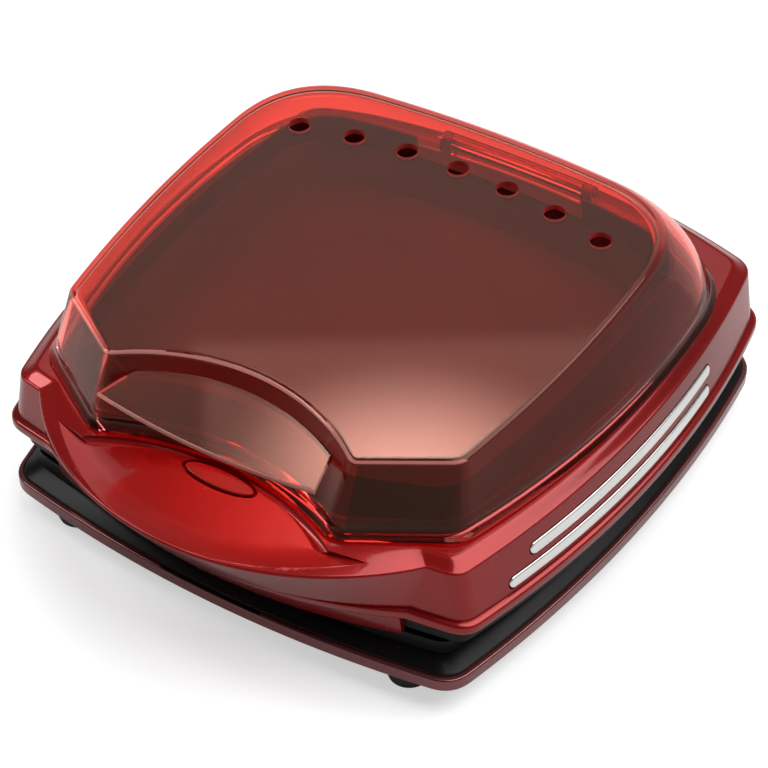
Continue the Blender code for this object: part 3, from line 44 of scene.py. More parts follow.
originShift = 0.008  # the pieces are drawn about the middle of the base, then moved this far back
gap = 0.0003         # room round a seated piece
past = 0.002         # how far a cutter reaches past the face that it opens
roundSteps = 5       # steps of a rounded edge
sharpDegrees = 32    # edges steeper than this are shaded sharp

# Heights of the main levels
level = {
    "footTop": 0.0082, "baseFloor": 0.0085, "lipLow": 0.0120, "lipHigh": 0.0180, "baseDeck": 0.0225,
    "frameLow": 0.0228, "partingLine": 0.0300, "apronLow": 0.0304, "upperFrameLow": 0.0316,
    "beadLow": 0.0415, "frameSeat": 0.0460, "beadHigh": 0.0470, "gripRoof": 0.0600, "crease": 0.0706,
    "deck": 0.0736, "coverLow": 0.0739, "tab": 0.0982, "coverFront": 0.10549,
}

# Steps of the outlines' edges and of the round pieces; a plain front is stepped finely within frontHalf,
# or within frontShare of its width
fine = {"front": 60, "shoulder": 5, "side": 36, "rear": 44, "corner": 8, "nose": 10, "frontHalf": .0940,
        "frontShare": .93, "plate": [24, 20, 24], "plateCorner": 10, "rod": 48, "turned": 64, "mould": 72}


# Plan outlines
def planMaker(*keys):
    return lambda *values: dict(zip(keys, values))


housingPlan = planMaker("halfFront", "halfRear", "front", "rear", "bowFront", "bowSide", "bowRear",
                        "cutFront", "cutRear")
coverPlan = planMaker("apex", "noseHalf", "noseY", "cornerHalf", "cornerY", "rearHalf", "rearY", "rearMiddle",
                      "cutNose", "cutCorner", "cutRear", "bowSide")
lipPlan = housingPlan(.1108, .1218, -.1190, .1190, .0108, .0117, .0170, .0095, .0130)
beadPlan = housingPlan(.1138, .1225, -.1143, .1186, .0105, .01457, .0190, .0075, .0095)
creasePlan = housingPlan(.1078, .1160, -.1114, .1180, .0104, .0143, .0190, .0060, .0080)
platePlan = housingPlan(.0950, .0990, -.0960, .0990, .0040, .0070, .0060, .0140, .0160)
footPlan = coverPlan(-.1110, .0580, -.1250, .1020, -.0985, .1150, .1030, .1165, .0050, .0060, .0340, .0120)
topPlan = coverPlan(-.0895, .0585, -.1103, .0950, -.0885, .1000, .0820, .0900, .0030, .0040, .0380, .0060)
trayFootPlan = coverPlan(-.0950, .0460, -.1040, .0830, -.0860, .0900, .0840, .0930,
                         .0060, .0080, .0200, .0060)
traySeatPlan = coverPlan(-.1010, .0500, -.1120, .0920, -.0920, .0990, .0900, .1000,
                         .0060, .0080, .0220, .0070)
trayRimPlan = coverPlan(-.0930, .0520, -.1040, .0900, -.0890, .0965, .0880, .0980,
                        .0060, .0080, .0220, .0070)


def between(first, second, share):
    return {key: first[key] + (second[key] - first[key]) * share for key in first}


def shifted(plan, by, **shares):
    # The plan with the named measures moved by their share of by
    return {**plan, **{key: plan[key] + by * share for key, share in shares.items()}}


def grownHousing(plan, by):
    wider = shifted(plan, by, halfFront=1, halfRear=1, front=-1, rear=1)
    for cut in ("cutFront", "cutRear"):
        wider[cut] = max(plan[cut] + by / 2, plan[cut] / 3)
    return wider


def grownCover(plan, by):
    return shifted(plan, by, apex=-1, noseHalf=.25, noseY=-1, cornerHalf=1, cornerY=-.7, rearHalf=1,
                   rearY=1, rearMiddle=1)


def arcRadius(half, rise):
    return (half ** 2 + rise ** 2) / (2 * rise)


def arcPoints(start, end, bow, trimStart, trimEnd, steps):
    # From start to end on an arc that bulges by bow to the right of the way there
    runX, runY = end[0] - start[0], end[1] - start[1]
    length = math.hypot(runX, runY)
    along, out = (runX / length, runY / length), (runY / length, -runX / length)
    first, last = trimStart / length, 1 - trimEnd / length
    points = []
    for step in range(steps + 1):
        share = first + (last - first) * step / steps
        forward, side = share * length, 0.0
        if abs(bow) > length / 10000:
            radius = arcRadius(length / 2, abs(bow))
            angle = math.asin(length / 2 / radius) * (2 * share - 1)
            forward = length / 2 + radius * math.sin(angle)
            side = math.copysign(radius * math.cos(angle) - (radius - abs(bow)), bow)
        points.append((start[0] + along[0] * forward + out[0] * side,
                       start[1] + along[1] * forward + out[1] * side))
    return points


def closedOutline(right, bows, steps, cornerSteps):
    # Mirrored in x, from the right-hand corners (x, y, cut), front to rear. Bows: front, sides, rear
    corners = list(right) + [(-x, y, cut) for x, y, cut in reversed(right)]
    sideBows, sideSteps = bows[1:-1], steps[1:-1]
    edgeBows = sideBows + [bows[-1]] + sideBows[::-1] + [bows[0]]
    edgeSteps = sideSteps + [steps[-1]] + sideSteps[::-1] + [steps[0]]
    edges = []
    for index, (x, y, cut) in enumerate(corners):
        endX, endY, endCut = corners[(index + 1) % len(corners)]
        edges.append(arcPoints((x, y), (endX, endY), edgeBows[index], cut, endCut, edgeSteps[index]))
    points = []
    for index, edge in enumerate(edges):
        tipX, tipY, cut = corners[(index + 1) % len(corners)]
        if not cut:
            points += edge[:-1]
            continue
        points += edge
        before, beyond = edge[-1], edges[(index + 1) % len(edges)][0]
        for step in range(1, cornerSteps):
            share = step / cornerSteps
            points.append(tuple((1 - share) ** 2 * a + 2 * share * (1 - share) * b + share ** 2 * c
                                for a, b, c in zip(before, (tipX, tipY), beyond)))
    return points


def bowedSquare(plan, steps, cornerSteps):
    return closedOutline([(plan["halfFront"], plan["front"], plan["cutFront"]),
                          (plan["halfRear"], plan["rear"], plan["cutRear"])],
                         [plan["bowFront"], plan["bowSide"], plan["bowRear"]], steps, cornerSteps)


def housingOutline(plan, tongue=None):
    # The bowed four-sided outline; tongue is (half width, apex) of the handle's bulge in its front
    base = bowedSquare(plan, [2, fine["side"], fine["rear"]], fine["corner"])
    tail = fine["corner"] - 1
    end = base[-tail - 1][0]
    half, apex = tongue or (min(fine["frontHalf"], end * fine["frontShare"]), None)
    radius = arcRadius(plan["halfFront"], plan["bowFront"])

    def plain(x):
        return plan["front"] - plan["bowFront"] + radius - math.sqrt(radius ** 2 - x ** 2)

    def front(x):
        if apex is None or abs(x) >= half:
            return plain(x)
        bulge = arcRadius(half, plain(half) - apex)
        return min(plain(x), apex + bulge - math.sqrt(bulge ** 2 - x ** 2))

    shoulder = [-end + (end - half) * step / fine["shoulder"] for step in range(fine["shoulder"])]
    middle = [-half + 2 * half * step / fine["front"] for step in range(fine["front"] + 1)]
    places = shoulder + middle + [-x for x in reversed(shoulder)]
    return base[:-tail - 3] + [(x, front(x)) for x in places] + base[-tail:]


def coverOutline(plan):
    return closedOutline([(plan["noseHalf"], plan["noseY"], plan["cutNose"]),
                          (plan["cornerHalf"], plan["cornerY"], plan["cutCorner"]),
                          (plan["rearHalf"], plan["rearY"], plan["cutRear"])],
                         [plan["noseY"] - plan["apex"], 0.0, plan["bowSide"],
                          plan["rearMiddle"] - plan["rearY"]],
                         [fine["front"], fine["nose"], fine["side"], fine["rear"]], fine["corner"] * 2)


def atHeight(points, z, slope=0.0, levelY=0.0):
    return [(x, y, z + slope * (y - levelY)) for x, y in points]


def housingRing(plan, by, z, tongue=None):
    return atHeight(housingOutline(grownHousing(plan, by), tongue), z)


def coverPlanRing(plan, by, z):
    return atHeight(coverOutline(grownCover(plan, by)), z)


def rounding(radiusX, radiusZ, startDegrees, endDegrees, steps=roundSteps):
    # (sideways, upwards) points of a rounded edge about its own centre
    turn = endDegrees - startDegrees
    angles = [math.radians(startDegrees + turn * step / steps) for step in range(steps + 1)]
    return [(radiusX * math.cos(angle), radiusZ * math.sin(angle)) for angle in angles]


def softEdge(ring, soft, z, startDegrees, endDegrees, steps=roundSteps):
    # Rings along an edge of radius soft, centred at the height z; ring(inset, z) draws the outline
    return [ring(soft - side, z + up) for side, up in rounding(soft, soft, startDegrees, endDegrees, steps)]


def bothSides(low, high):
    return [(low, high), (-high, -low)]


def fourPlaces(places):
    return [(side * x, y) for x, y in places for side in (-1, 1)]


# Mesh helpers
def placed(name, data):
    made = bpy.data.objects.new(name, data)
    bpy.context.scene.collection.objects.link(made)
    return made


def shadeSoftly(mesh):
    mesh.shade_smooth()
    mesh.set_sharp_from_angle(angle=math.radians(sharpDegrees))


def fromBmesh(name, work, material=None):
    bmesh.ops.recalc_face_normals(work, faces=work.faces)
    mesh = bpy.data.meshes.new(name)
    work.to_mesh(mesh)
    work.free()
    if material:
        mesh.materials.append(material)
    shadeSoftly(mesh)
    return placed(name, mesh)


def lofts(name, solids, material=None):
    # Closed solids, each through rings of equally many points
    work = bmesh.new()
    for rings in solids:
        rows = [[work.verts.new(point) for point in ring] for ring in rings]
        for low, high in zip(rows, rows[1:]):
            for index in range(len(low)):
                other = (index + 1) % len(low)
                work.faces.new((low[index], low[other], high[other], high[index]))
        work.faces.new(rows[0][::-1])
        work.faces.new(rows[-1])
    return fromBmesh(name, work, material)


def loft(name, rings, material=None):
    return lofts(name, [rings], material)


def softPrism(name, ring, low, high, soft, material=None, steps=3):
    # A slab with rounded edges; ring(inset, z) draws its outline
    return loft(name, softEdge(ring, soft, low + soft, -90, 0, steps)
                + softEdge(ring, soft, high - soft, 0, 90, steps), material)


def slabs(name, profile, spans):
    # Slabs of a (y, z) profile across X at each span and at its mirror image
    return lofts(name, [[[(x, y, z) for y, z in profile] for x in ends]
                        for span in spans for ends in bothSides(*span)])


def boxes(name, spans, rangeY, rangeZ):
    # A box at each span of x, all between the same y and z
    work = bmesh.new()
    for span in spans:
        low, high = zip(span, rangeY, rangeZ)
        size = [b - a for a, b in zip(low, high)]
        middle = [(a + b) / 2 for a, b in zip(low, high)]
        bmesh.ops.create_cube(work, size=1.0,
                              matrix=Matrix.Translation(middle) @ Matrix.Diagonal((*size, 1.0)))
    return fromBmesh(name, work)


def rods(name, spans, radius):
    # Cylinders of one radius, each from a start to an end
    work = bmesh.new()
    for start, end in spans:
        run = Vector(end) - Vector(start)
        turn = run.to_track_quat("Z", "Y").to_matrix().to_4x4()
        bmesh.ops.create_cone(work, cap_ends=True, segments=fine["rod"], radius1=radius, radius2=radius,
                              depth=run.length,
                              matrix=Matrix.Translation((Vector(start) + Vector(end)) / 2) @ turn)
    return fromBmesh(name, work)


def uprightRods(name, places, low, high, radius):
    return rods(name, [((x, y, low), (x, y, high)) for x, y in places], radius)


def crossRods(name, spans, centre, radius):
    # Rods across X at one (y, z)
    return rods(name, [((low, *centre), (high, *centre)) for low, high in spans], radius)


def turned(name, profile, places, axis=(0, 0, 1), material=None, steps=fine["turned"]):
    # A closed (radius, height) profile turned about an axis through each place
    turn = Vector(axis).to_track_quat("Z", "Y").to_matrix()
    circle = [(math.cos(2 * math.pi * step / steps), math.sin(2 * math.pi * step / steps))
              for step in range(steps)]
    work = bmesh.new()
    for place in places:
        rows = []
        for radius, height in profile:
            points = [(radius * x, radius * y, height) for x, y in circle] if radius else [(0, 0, height)]
            rows.append([work.verts.new([at + a * x + b * y + c * z for at, (a, b, c) in zip(place, turn)])
                         for x, y, z in points])
        pairs = list(zip(rows, rows[1:]))
        if len(rows[0]) > 1:
            pairs.append((rows[-1], rows[0]))
        for low, high in pairs:
            for index in range(steps):
                other = (index + 1) % steps
                corners = [low[index % len(low)], low[other % len(low)], high[other % len(high)],
                           high[index % len(high)]]
                work.faces.new(list(dict.fromkeys(corners)))
    return fromBmesh(name, work, material)


def combine(target, operation, *tools):
    # Applies a boolean for each tool, then the tools go
    for tool in tools:
        step = target.modifiers.new(tool.name, "BOOLEAN")
        step.operation, step.solver, step.object = operation, "EXACT", tool
    graph = bpy.context.evaluated_depsgraph_get()
    mesh = bpy.data.meshes.new_from_object(target.evaluated_get(graph))
    target.modifiers.clear()
    target.data = mesh
    shadeSoftly(mesh)
    for tool in tools:
        bpy.data.objects.remove(tool, do_unlink=True)


def carve(target, *tools):
    combine(target, "DIFFERENCE", *tools)


def fuse(target, *tools):
    combine(target, "UNION", *tools)


def dress(piece, body, *nodes):
    # Moves a finished piece to its place, gives it its body, and hides the nodes that it stands for
    piece.data.transform(Matrix.Translation((0.0, originShift, 0.0)))
    soft = piece.modifiers.new("even_normals", "WEIGHTED_NORMAL")
    soft.keep_sharp = True
    soft.weight = 60
    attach(piece, body)
    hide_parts(*nodes)


# Shader maths
class Wire:
    # A socket, on which plain arithmetic adds Math nodes
    def __init__(self, nodes, socket):
        self.nodes, self.socket = nodes, socket

    def math(self, operation, *others):
        return self.nodes.node("ShaderNodeMath", {"operation": operation},
                               dict(enumerate((self, *others))))

    def __add__(self, other):
        return self.math("ADD", other)

    def __sub__(self, other):
        return self.math("SUBTRACT", other)

    def __mul__(self, other):
        return self.math("MULTIPLY", other)

    def __rsub__(self, other):
        return self.nodes.node("ShaderNodeMath", {"operation": "SUBTRACT"}, {0: other, 1: self})

    __radd__, __rmul__ = __add__, __mul__


class Nodes:
    # One node tree, in a material, a light or the world
    def __init__(self, tree):
        self.tree = tree

    def node(self, kind, settings=None, values=None, output=0):
        made = self.tree.nodes.new(kind)
        for key, value in (settings or {}).items():
            if key == "stops":
                ramp = made.color_ramp
                while len(ramp.elements) < len(value):
                    ramp.elements.new(1.0)
                for element, (place, colour) in zip(ramp.elements, value):
                    element.position, element.color = place, (*colour, 1.0)
            else:
                setattr(made, key, value)
        for key, value in (values or {}).items():
            if isinstance(value, Wire):
                self.tree.links.new(value.socket, made.inputs[key])
            else:
                made.inputs[key].default_value = value
        return Wire(self, made.outputs[output])

    def feed(self, name, socket, wire):
        # Links a wire to a node that is already there
        self.tree.links.new(wire.socket, self.tree.nodes[name].inputs[socket])

    def axis(self, vector, name):
        return self.node("ShaderNodeSeparateXYZ", {}, {0: vector}, output=name)

    def scaled(self, vector, by):
        return self.node("ShaderNodeVectorMath", {"operation": "MULTIPLY"}, {0: vector, 1: by})

    def ramp(self, factor, stops):
        return self.node("ShaderNodeValToRGB", {"stops": stops}, {"Fac": factor})

    def mix(self, factor, first, second):
        return self.node("ShaderNodeMix", {"data_type": "RGBA"}, {0: factor, 6: first, 7: second}, output=2)


# Noise by name: scale, detail, roughness
noises = {
    "paintDrift": (9.0, 3.0, .5), "paintSmears": (28.0, 5.0, .62), "orangePeel": (420.0, 1.0, .5),
    "clearSmears": (22.0, 4.0, .6), "windowDrift": (60.0, 2.0, .5), "windowSmears": (90.0, 3.0, .5),
    "plasticGrain": (900.0, 2.0, .5), "plasticDrift": (14.0, 3.0, .5), "plasticSmears": (35.0, 4.0, .5),
    "polishMarks": (300.0, 3.0, .6), "metalDrift": (18.0, 3.0, .5), "coatingPebbles": (1400.0, 2.0, .5),
    "coatingSmears": (30.0, 4.0, .5), "paperDrift": (3.0, 2.0, .5),
}
cellScales = {"flakes": 2600.0, "flecks": 900.0}


class Finish(Nodes):
    # A material with one Principled surface
    def __init__(self, name, sockets):
        self.material = bpy.data.materials.new(name)
        self.material.use_nodes = True
        super().__init__(self.material.node_tree)
        self.shader = self.tree.nodes["Principled BSDF"]
        for key, value in sockets.items():
            self.shader.inputs[key].default_value = value

    def place(self):
        return self.node("ShaderNodeTexCoord", output="Object")

    def noise(self, name, where=None):
        scale, detail, roughness = noises[name]
        return self.node("ShaderNodeTexNoise", {}, {"Vector": where or self.place(), "Scale": scale,
                                                    "Detail": detail, "Roughness": roughness})

    def cells(self, name, output):
        return self.node("ShaderNodeTexVoronoi", {}, {"Vector": self.place(), "Scale": cellScales[name]},
                         output)

    def bump(self, height, strength, distance):
        return self.node("ShaderNodeBump", {}, {"Height": height, "Strength": strength, "Distance": distance})

    def drive(self, **links):
        sockets = {"colour": "Base Color", "roughness": "Roughness", "normal": "Normal"}
        for key, wire in links.items():
            self.feed("Principled BSDF", sockets[key], wire)
        return self.material


def solid(red, green, blue):
    return (red, green, blue, 1.0)


def brighter(colour, by):
    return tuple(value * by for value in colour)


paintLook = {"sheen": .2, "coat": .58, "coatGloss": .08, "coatIndex": 1.42, "drift": .94, "sparkle": .06,
             "gloss": .20, "smears": .12, "peel": .05, "peelHeight": .0002}


def candyPaint(name, deep, bright, metallic):
    # Metallic paint under a clear coat: fine flakes, slow drift of tone, faint smears in the gloss
    paint = Finish(name, {"Metallic": metallic, "Specular IOR Level": paintLook["sheen"],
                          "Coat Weight": paintLook["coat"], "Coat Roughness": paintLook["coatGloss"],
                          "Coat IOR": paintLook["coatIndex"]})
    sparkle = paint.node("ShaderNodeSeparateColor", {}, {"Color": paint.cells("flakes", "Color")})
    tone = paint.noise("paintDrift") * paintLook["drift"] + sparkle * paintLook["sparkle"]
    return paint.drive(colour=paint.ramp(tone, [(.28, deep), (.74, bright)]),
                       roughness=paint.noise("paintSmears") * paintLook["smears"] + paintLook["gloss"],
                       normal=paint.bump(paint.noise("orangePeel"), paintLook["peel"],
                                         paintLook["peelHeight"]))


clearLook = {"index": 1.40, "glint": (1.0, .68, .48), "shadow": (.962, .323, .286), "gloss": .015,
             "smears": .10, "smearPower": 3.0, "rightward": 1.2, "fade": 11.0}


def clearPlastic(name, tint, clear=1.0, paintedShade=None):
    # Tinted clear plastic: it bends light, and lets lamps through
    plastic = Finish(name, {"Base Color": solid(*tint), "IOR": clearLook["index"],
                            "Transmission Weight": clear, "Specular Tint": solid(*clearLook["glint"])})
    smears = plastic.noise("clearSmears").math("POWER", clearLook["smearPower"])
    plastic.drive(roughness=smears * clearLook["smears"] + clearLook["gloss"])
    if paintedShade:  # painted shade: deeper towards the front and the right, away from the panel's light
        across, along = [plastic.axis(plastic.place(), letter) for letter in "XY"]
        away = (along - across * clearLook["rightward"]) * clearLook["fade"] + .5
        plastic.drive(colour=plastic.ramp(away, [(.05, paintedShade), (.95, tint)]))
    shadow = plastic.node("ShaderNodeLightPath", output="Is Shadow Ray")
    through = plastic.node("ShaderNodeBsdfTransparent", {}, {"Color": solid(*clearLook["shadow"])})
    surface = Wire(plastic, plastic.shader.outputs[0])
    plastic.feed("Material Output", "Surface",
                 plastic.node("ShaderNodeMixShader", {}, {0: shadow, 1: surface, 2: through}))
    return plastic.material


def windowPlastic(name, colour):
    # Dense red plastic with a little depth, for the lamp window
    plastic = Finish(name, {"IOR": clearLook["index"], "Coat Weight": .3, "Coat Roughness": .02,
                            "Transmission Weight": .15})
    return plastic.drive(colour=plastic.ramp(plastic.noise("windowDrift"),
                                             [(.3, colour), (.8, brighter(colour, 1.5))]),
                         roughness=plastic.noise("windowSmears") * .08 + .08)


def mouldedPlastic(name, colour, gloss, grain, shine=.5):
    # Moulded plastic with a fine texture
    plastic = Finish(name, {"Specular IOR Level": shine})
    return plastic.drive(colour=plastic.ramp(plastic.noise("plasticDrift"),
                                             [(.3, colour), (.8, brighter(colour, 1.6))]),
                         roughness=plastic.noise("plasticSmears") * .14 + gloss,
                         normal=plastic.bump(plastic.noise("plasticGrain"), grain, .0003))


def metal(name, dark, light, gloss, streak):
    # Bare or plated metal with faint polishing marks; streak squeezes them along one direction
    sheet = Finish(name, {"Metallic": 1.0})
    marks = sheet.noise("polishMarks", sheet.scaled(sheet.place(), streak))
    return sheet.drive(colour=sheet.ramp(sheet.noise("metalDrift"), [(.3, dark), (.75, light)]),
                       roughness=marks * .12 + gloss, normal=sheet.bump(marks, .06, .0002))


def speckled(name, deep, fleck, gloss):
    # Non-stick coating: fine flecks over a dark ground
    coating = Finish(name, {"Specular IOR Level": .5})
    flecks = coating.cells("flecks", "Distance")
    return coating.drive(colour=coating.ramp(flecks, [(.05, fleck), (.22, deep)]),
                         roughness=coating.noise("coatingSmears") * .18 + gloss,
                         normal=coating.bump(coating.noise("coatingPebbles"), .12, .0003))


finishes = {
    "lidRed": candyPaint("candy_red_paint", (.125, .0022, .0020), (.29, .0045, .0038), metallic=.45),
    "baseRed": candyPaint("base_brown_red_paint", (.135, .034, .037), (.25, .074, .075), metallic=.65),
    "clearRed": clearPlastic("clear_red_plastic", (.875, .192, .157)),
    # Painted shade: the foot, rim and wall tints darken towards the front and the right
    "clearFoot": clearPlastic("clear_red_plastic_foot", (.90, .20, .17), paintedShade=(.20, .035, .035)),
    # Painted highlight: a paler, less clear tint for the lit edges
    "clearHighlight": clearPlastic("clear_red_plastic_painted_highlight", (.82, .34, .30), clear=.6),
    "clearRim": clearPlastic("clear_red_plastic_rim", (.86, .10, .08), clear=.5, paintedShade=(.16, .03, .028)),
    "clearShadedWall": clearPlastic("clear_red_plastic_shaded_wall", (.90, .17, .15), clear=.93,
                              paintedShade=(.36, .03, .03)),
    "black": mouldedPlastic("black_moulded_plastic", (.0040, .0035, .0036), gloss=.22, grain=.05, shine=.13),
    "rubber": mouldedPlastic("black_rubber", (.010, .010, .010), gloss=.60, grain=.25),
    "tray": mouldedPlastic("dark_brown_tray", (.018, .0045, .004), gloss=.36, grain=.006, shine=.3),
    "window": windowPlastic("red_window", (.15, .004, .0035)),
    "ventRed": mouldedPlastic("dark_red_vent_edge", (.34, .022, .019), gloss=.35, grain=.02, shine=.3),
    "chrome": metal("chrome_plating", (.78, .78, .76), (.92, .92, .90), gloss=.10, streak=(1.0, .05, 1.0)),
    "steel": metal("plain_steel", (.36, .36, .37), (.50, .50, .51), gloss=.28, streak=(1.0, 1.0, .1)),
    "sheet": metal("bright_sheet", (.50, .50, .50), (.66, .66, .66), gloss=.22, streak=(.08, 1.0, 1.0)),
    "nonstick": speckled("nonstick_coating", (.016, .015, .015), (.050, .047, .045), gloss=.34),
    "ceramic": mouldedPlastic("ceramic", (.60, .57, .50), gloss=.50, grain=.10),
    "lampRed": mouldedPlastic("lamp_red", (.60, .03, .02), gloss=.15, grain=.02),
    "lampGreen": mouldedPlastic("lamp_green", (.04, .42, .08), gloss=.15, grain=.02),
}
print("finishes made:", len(finishes))

# Lid housing
lid = {
    "beadWall": .0050, "beadRound": .0016, "skirtStep": .0022, "skirtSteps": 6, "creaseRound": .0012,
    "deckEdge": .0055, "deckCurve": ((.35, .38), (.65, .70), (.85, .89), (1.0, .98), (1.25, 1.0)),
    "tongueHalf": .0940, "tongueApex": -.1575, "deckApex": -.1360, "apronHalf": .0850, "apronApex": -.1305,
    "wall": .0025, "roofWall": .0028, "roofInset": .0090, "gripBack": .0054,
    "screwPlaces": ((.0980, -.1030), (.1050, .1050)), "bossRadius": .0044, "bossSkin": .0015,
    "lampSlotHalf": (.0112, .0034), "lugFoot": .0012,
}
skirtPlan = grownHousing(beadPlan, -lid["skirtStep"])
skirtTop = level["crease"] - lid["creaseRound"]


def tongueAt(z, inset=0.0):
    share = (z - level["apronLow"]) / (skirtTop - level["apronLow"])
    return (lid["apronHalf"] + (lid["tongueHalf"] - lid["apronHalf"]) * share - inset,
            lid["apronApex"] + (lid["tongueApex"] - lid["apronApex"]) * share + inset)


def skirtAt(z):
    return between(skirtPlan, creasePlan, (z - level["beadHigh"]) / (skirtTop - level["beadHigh"]))


def lidOuterRings():
    # The bead, the sloped skirt, the crease and the deck's rounded edge
    edge, bend, step = lid["beadRound"], lid["creaseRound"], lid["skirtStep"]
    half, apex = tongueAt(skirtTop)

    def beadRing(inset, z):
        return housingRing(beadPlan, -inset, z, tongueAt(z))

    def creaseRing(inset, z):
        return housingRing(creasePlan, -inset, z, (half - inset, apex + inset))

    rings = [beadRing(lid["beadWall"] / 2, level["apronLow"])]
    rings += softEdge(beadRing, edge, level["beadLow"] + edge, -90, 0)
    rings += [beadRing(step - side, level["beadHigh"] - edge + up)
              for side, up in rounding(step, edge, 0, 90)]
    for row in range(1, lid["skirtSteps"] + 1):
        z = level["beadHigh"] + (skirtTop - level["beadHigh"]) * row / lid["skirtSteps"]
        rings.append(housingRing(skirtAt(z), 0.0, z, tongueAt(z)))
    rings += softEdge(creaseRing, bend, skirtTop, 0, 90)[1:]
    rise, run = level["deck"] - level["crease"], lid["deckEdge"] - bend
    for share, lift in lid["deckCurve"]:
        inset = bend + run * share
        back = (lid["deckApex"] - apex - bend) * min(share, 1.0) + run * max(share - 1, 0)
        rings.append(housingRing(creasePlan, -inset, level["crease"] + rise * lift,
                                 (half - inset, apex + bend + back)))
    return rings


def lidHollowRings():
    # The grip's room under the handle, then the lid's inside behind it
    wall, roof, low = lid["wall"], level["gripRoof"], gap - lid["beadWall"]
    rings = [housingRing(plan, by, z, (lid["apronHalf"] - wall, tongueAt(z, wall)[1]))
             for plan, by, z in ((beadPlan, low, level["apronLow"] - past),
                                 (beadPlan, low, level["beadHigh"]), (skirtAt(roof), -wall, roof))]
    back = creasePlan["front"] + lid["gripBack"]
    for plan, by, front, z in ((skirtAt(roof), -wall, back, roof),
                               (creasePlan, -wall, back, level["crease"] - lid["roofWall"]),
                               (creasePlan, -lid["roofInset"], back + wall, level["deck"] - lid["roofWall"])):
        plan = {**grownHousing(plan, by), "front": front, "bowFront": wall}
        rings.append(atHeight(housingOutline(plan), z))
    return rings


# Dish in the handle: its corners low and high; middle and spread are the shares where its rings start and end
dish = {"floor": .0697, "slope": .045, "depth": .0012, "shoulder": .0030, "frontLow": -.1490,
        "frontHigh": -.1566, "rear": -.1118, "low": ((.0590, -.1280), (.0560, -.1292)),
        "high": ((.0810, -.1235), (.0590, -.1285)), "middle": -.8, "spread": .4, "panSteps": 12,
        "shoulderSteps": 8}


def dishRing(share, rise):
    (wide, wideY), (near, nearY) = [tuple(a + (b - a) * share for a, b in zip(low, high))
                                    for low, high in zip(dish["low"], dish["high"])]
    front = dish["frontLow"] + (dish["frontHigh"] - dish["frontLow"]) * share
    points = closedOutline([(wide, wideY, 0.0), (near, nearY, 0.0)],
                           [wideY - front, 0.0, dish["rear"] - nearY], [fine["front"], 1, fine["front"]], 2)
    return atHeight(points, dish["floor"] + rise, dish["slope"], dish["frontLow"])


def dishRings():
    rings = []
    for step in range(dish["panSteps"] + 1):
        out = step / dish["panSteps"]
        rings.append(dishRing(dish["middle"] + (1 - dish["middle"]) * out, dish["depth"] * out ** 2))
    for step in range(1, dish["shoulderSteps"] + 1):
        out = step / dish["shoulderSteps"]
        rings.append(dishRing(1 + dish["spread"] * out,
                              dish["depth"] + dish["shoulder"] * math.sin(math.pi / 2 * out) ** 2))
    return rings


def dishFloorAt(y):
    return dish["floor"] + dish["slope"] * (y - dish["frontLow"])


# Indicator window, an oval in the dish
window = {"y": -.1171, "length": .0326, "width": .0088, "thickness": .0026, "proud": .0005, "border": .0016,
          "round": .0006, "steps": 72, "pocketTop": .004}


def windowRing(inset, depth):
    points = []
    for step in range(window["steps"]):
        angle = 2 * math.pi * step / window["steps"]
        x = (window["length"] / 2 - inset) * math.cos(angle)
        y = window["y"] + (window["width"] / 2 - inset) * math.sin(angle)
        points.append((x, y, dishFloorAt(y) + depth))
    return points


# Lid hinge: pins through the base's ears and the upper frame's knuckles
hinge = {"y": .1280, "z": .0400, "radius": .0055, "inner": .0360, "ear": .0050, "knuckle": .0154,
         "running": .0006, "pin": .0022, "pinHead": .0036, "headLength": .0012, "slotTop": .0500,
         "earRoot": .0190, "rootHalf": .0042, "webBack": 2.2, "inletDepth": .0150}
hingeAxis = (hinge["y"], hinge["z"])
knuckleLow = hinge["inner"] + hinge["ear"] + hinge["running"]
knuckleSpan = (knuckleLow, knuckleLow + hinge["knuckle"])
outerEar = knuckleSpan[1] + hinge["running"]
earSpans = [(low, low + hinge["ear"]) for low in (hinge["inner"], outerEar)]
hingeOuter = outerEar + hinge["ear"]

# Cover hinge: a rod through lugs on the deck and a barrel on the cover
coverHinge = {"y": .1160, "z": .0805, "radius": .0042, "barrelHalf": .0340, "lug": .0045, "rod": .0016,
              "boreHalf": .036, "slotBack": .015}
coverAxis = (coverHinge["y"], coverHinge["z"])
lugLow = coverHinge["barrelHalf"] + hinge["running"]
lugSpan = (lugLow, lugLow + coverHinge["lug"])


def hingeRoom(name, yLow, zLow, zHigh):
    side = hinge["headLength"] + gap + hinge["running"]
    return boxes(name, bothSides(hinge["inner"] - side, hingeOuter + side),
                 (yLow, hinge["y"] + hinge["inletDepth"]), (zLow, zHigh))


def earProfile(y, z, radius, rootZ, rootHalf, steps=20):
    return [(y - rootHalf, rootZ), (y + rootHalf, rootZ)] + [
        (y + along, z + up) for along, up in rounding(radius, radius, 0, 180, steps)]


# Chrome strips on the skirt, the upper and the lower one
strips = {"heights": (.0602, .0515), "fronts": (-.0755, -.0885), "rears": (.0585, .0560), "width": .0052,
          "depth": .0022, "proud": .0010, "border": .0006, "grooveTop": .003, "endSteps": 8, "runSteps": 40,
          "tip": .12, "tipCrown": .35, "edgeCrown": .25}


def skirtX(y, z):
    plan = skirtAt(z)
    share = (y - plan["front"]) / (plan["rear"] - plan["front"])
    return (plan["halfFront"] + (plan["halfRear"] - plan["halfFront"]) * share
            + plan["bowSide"] * 4 * share * (1 - share))


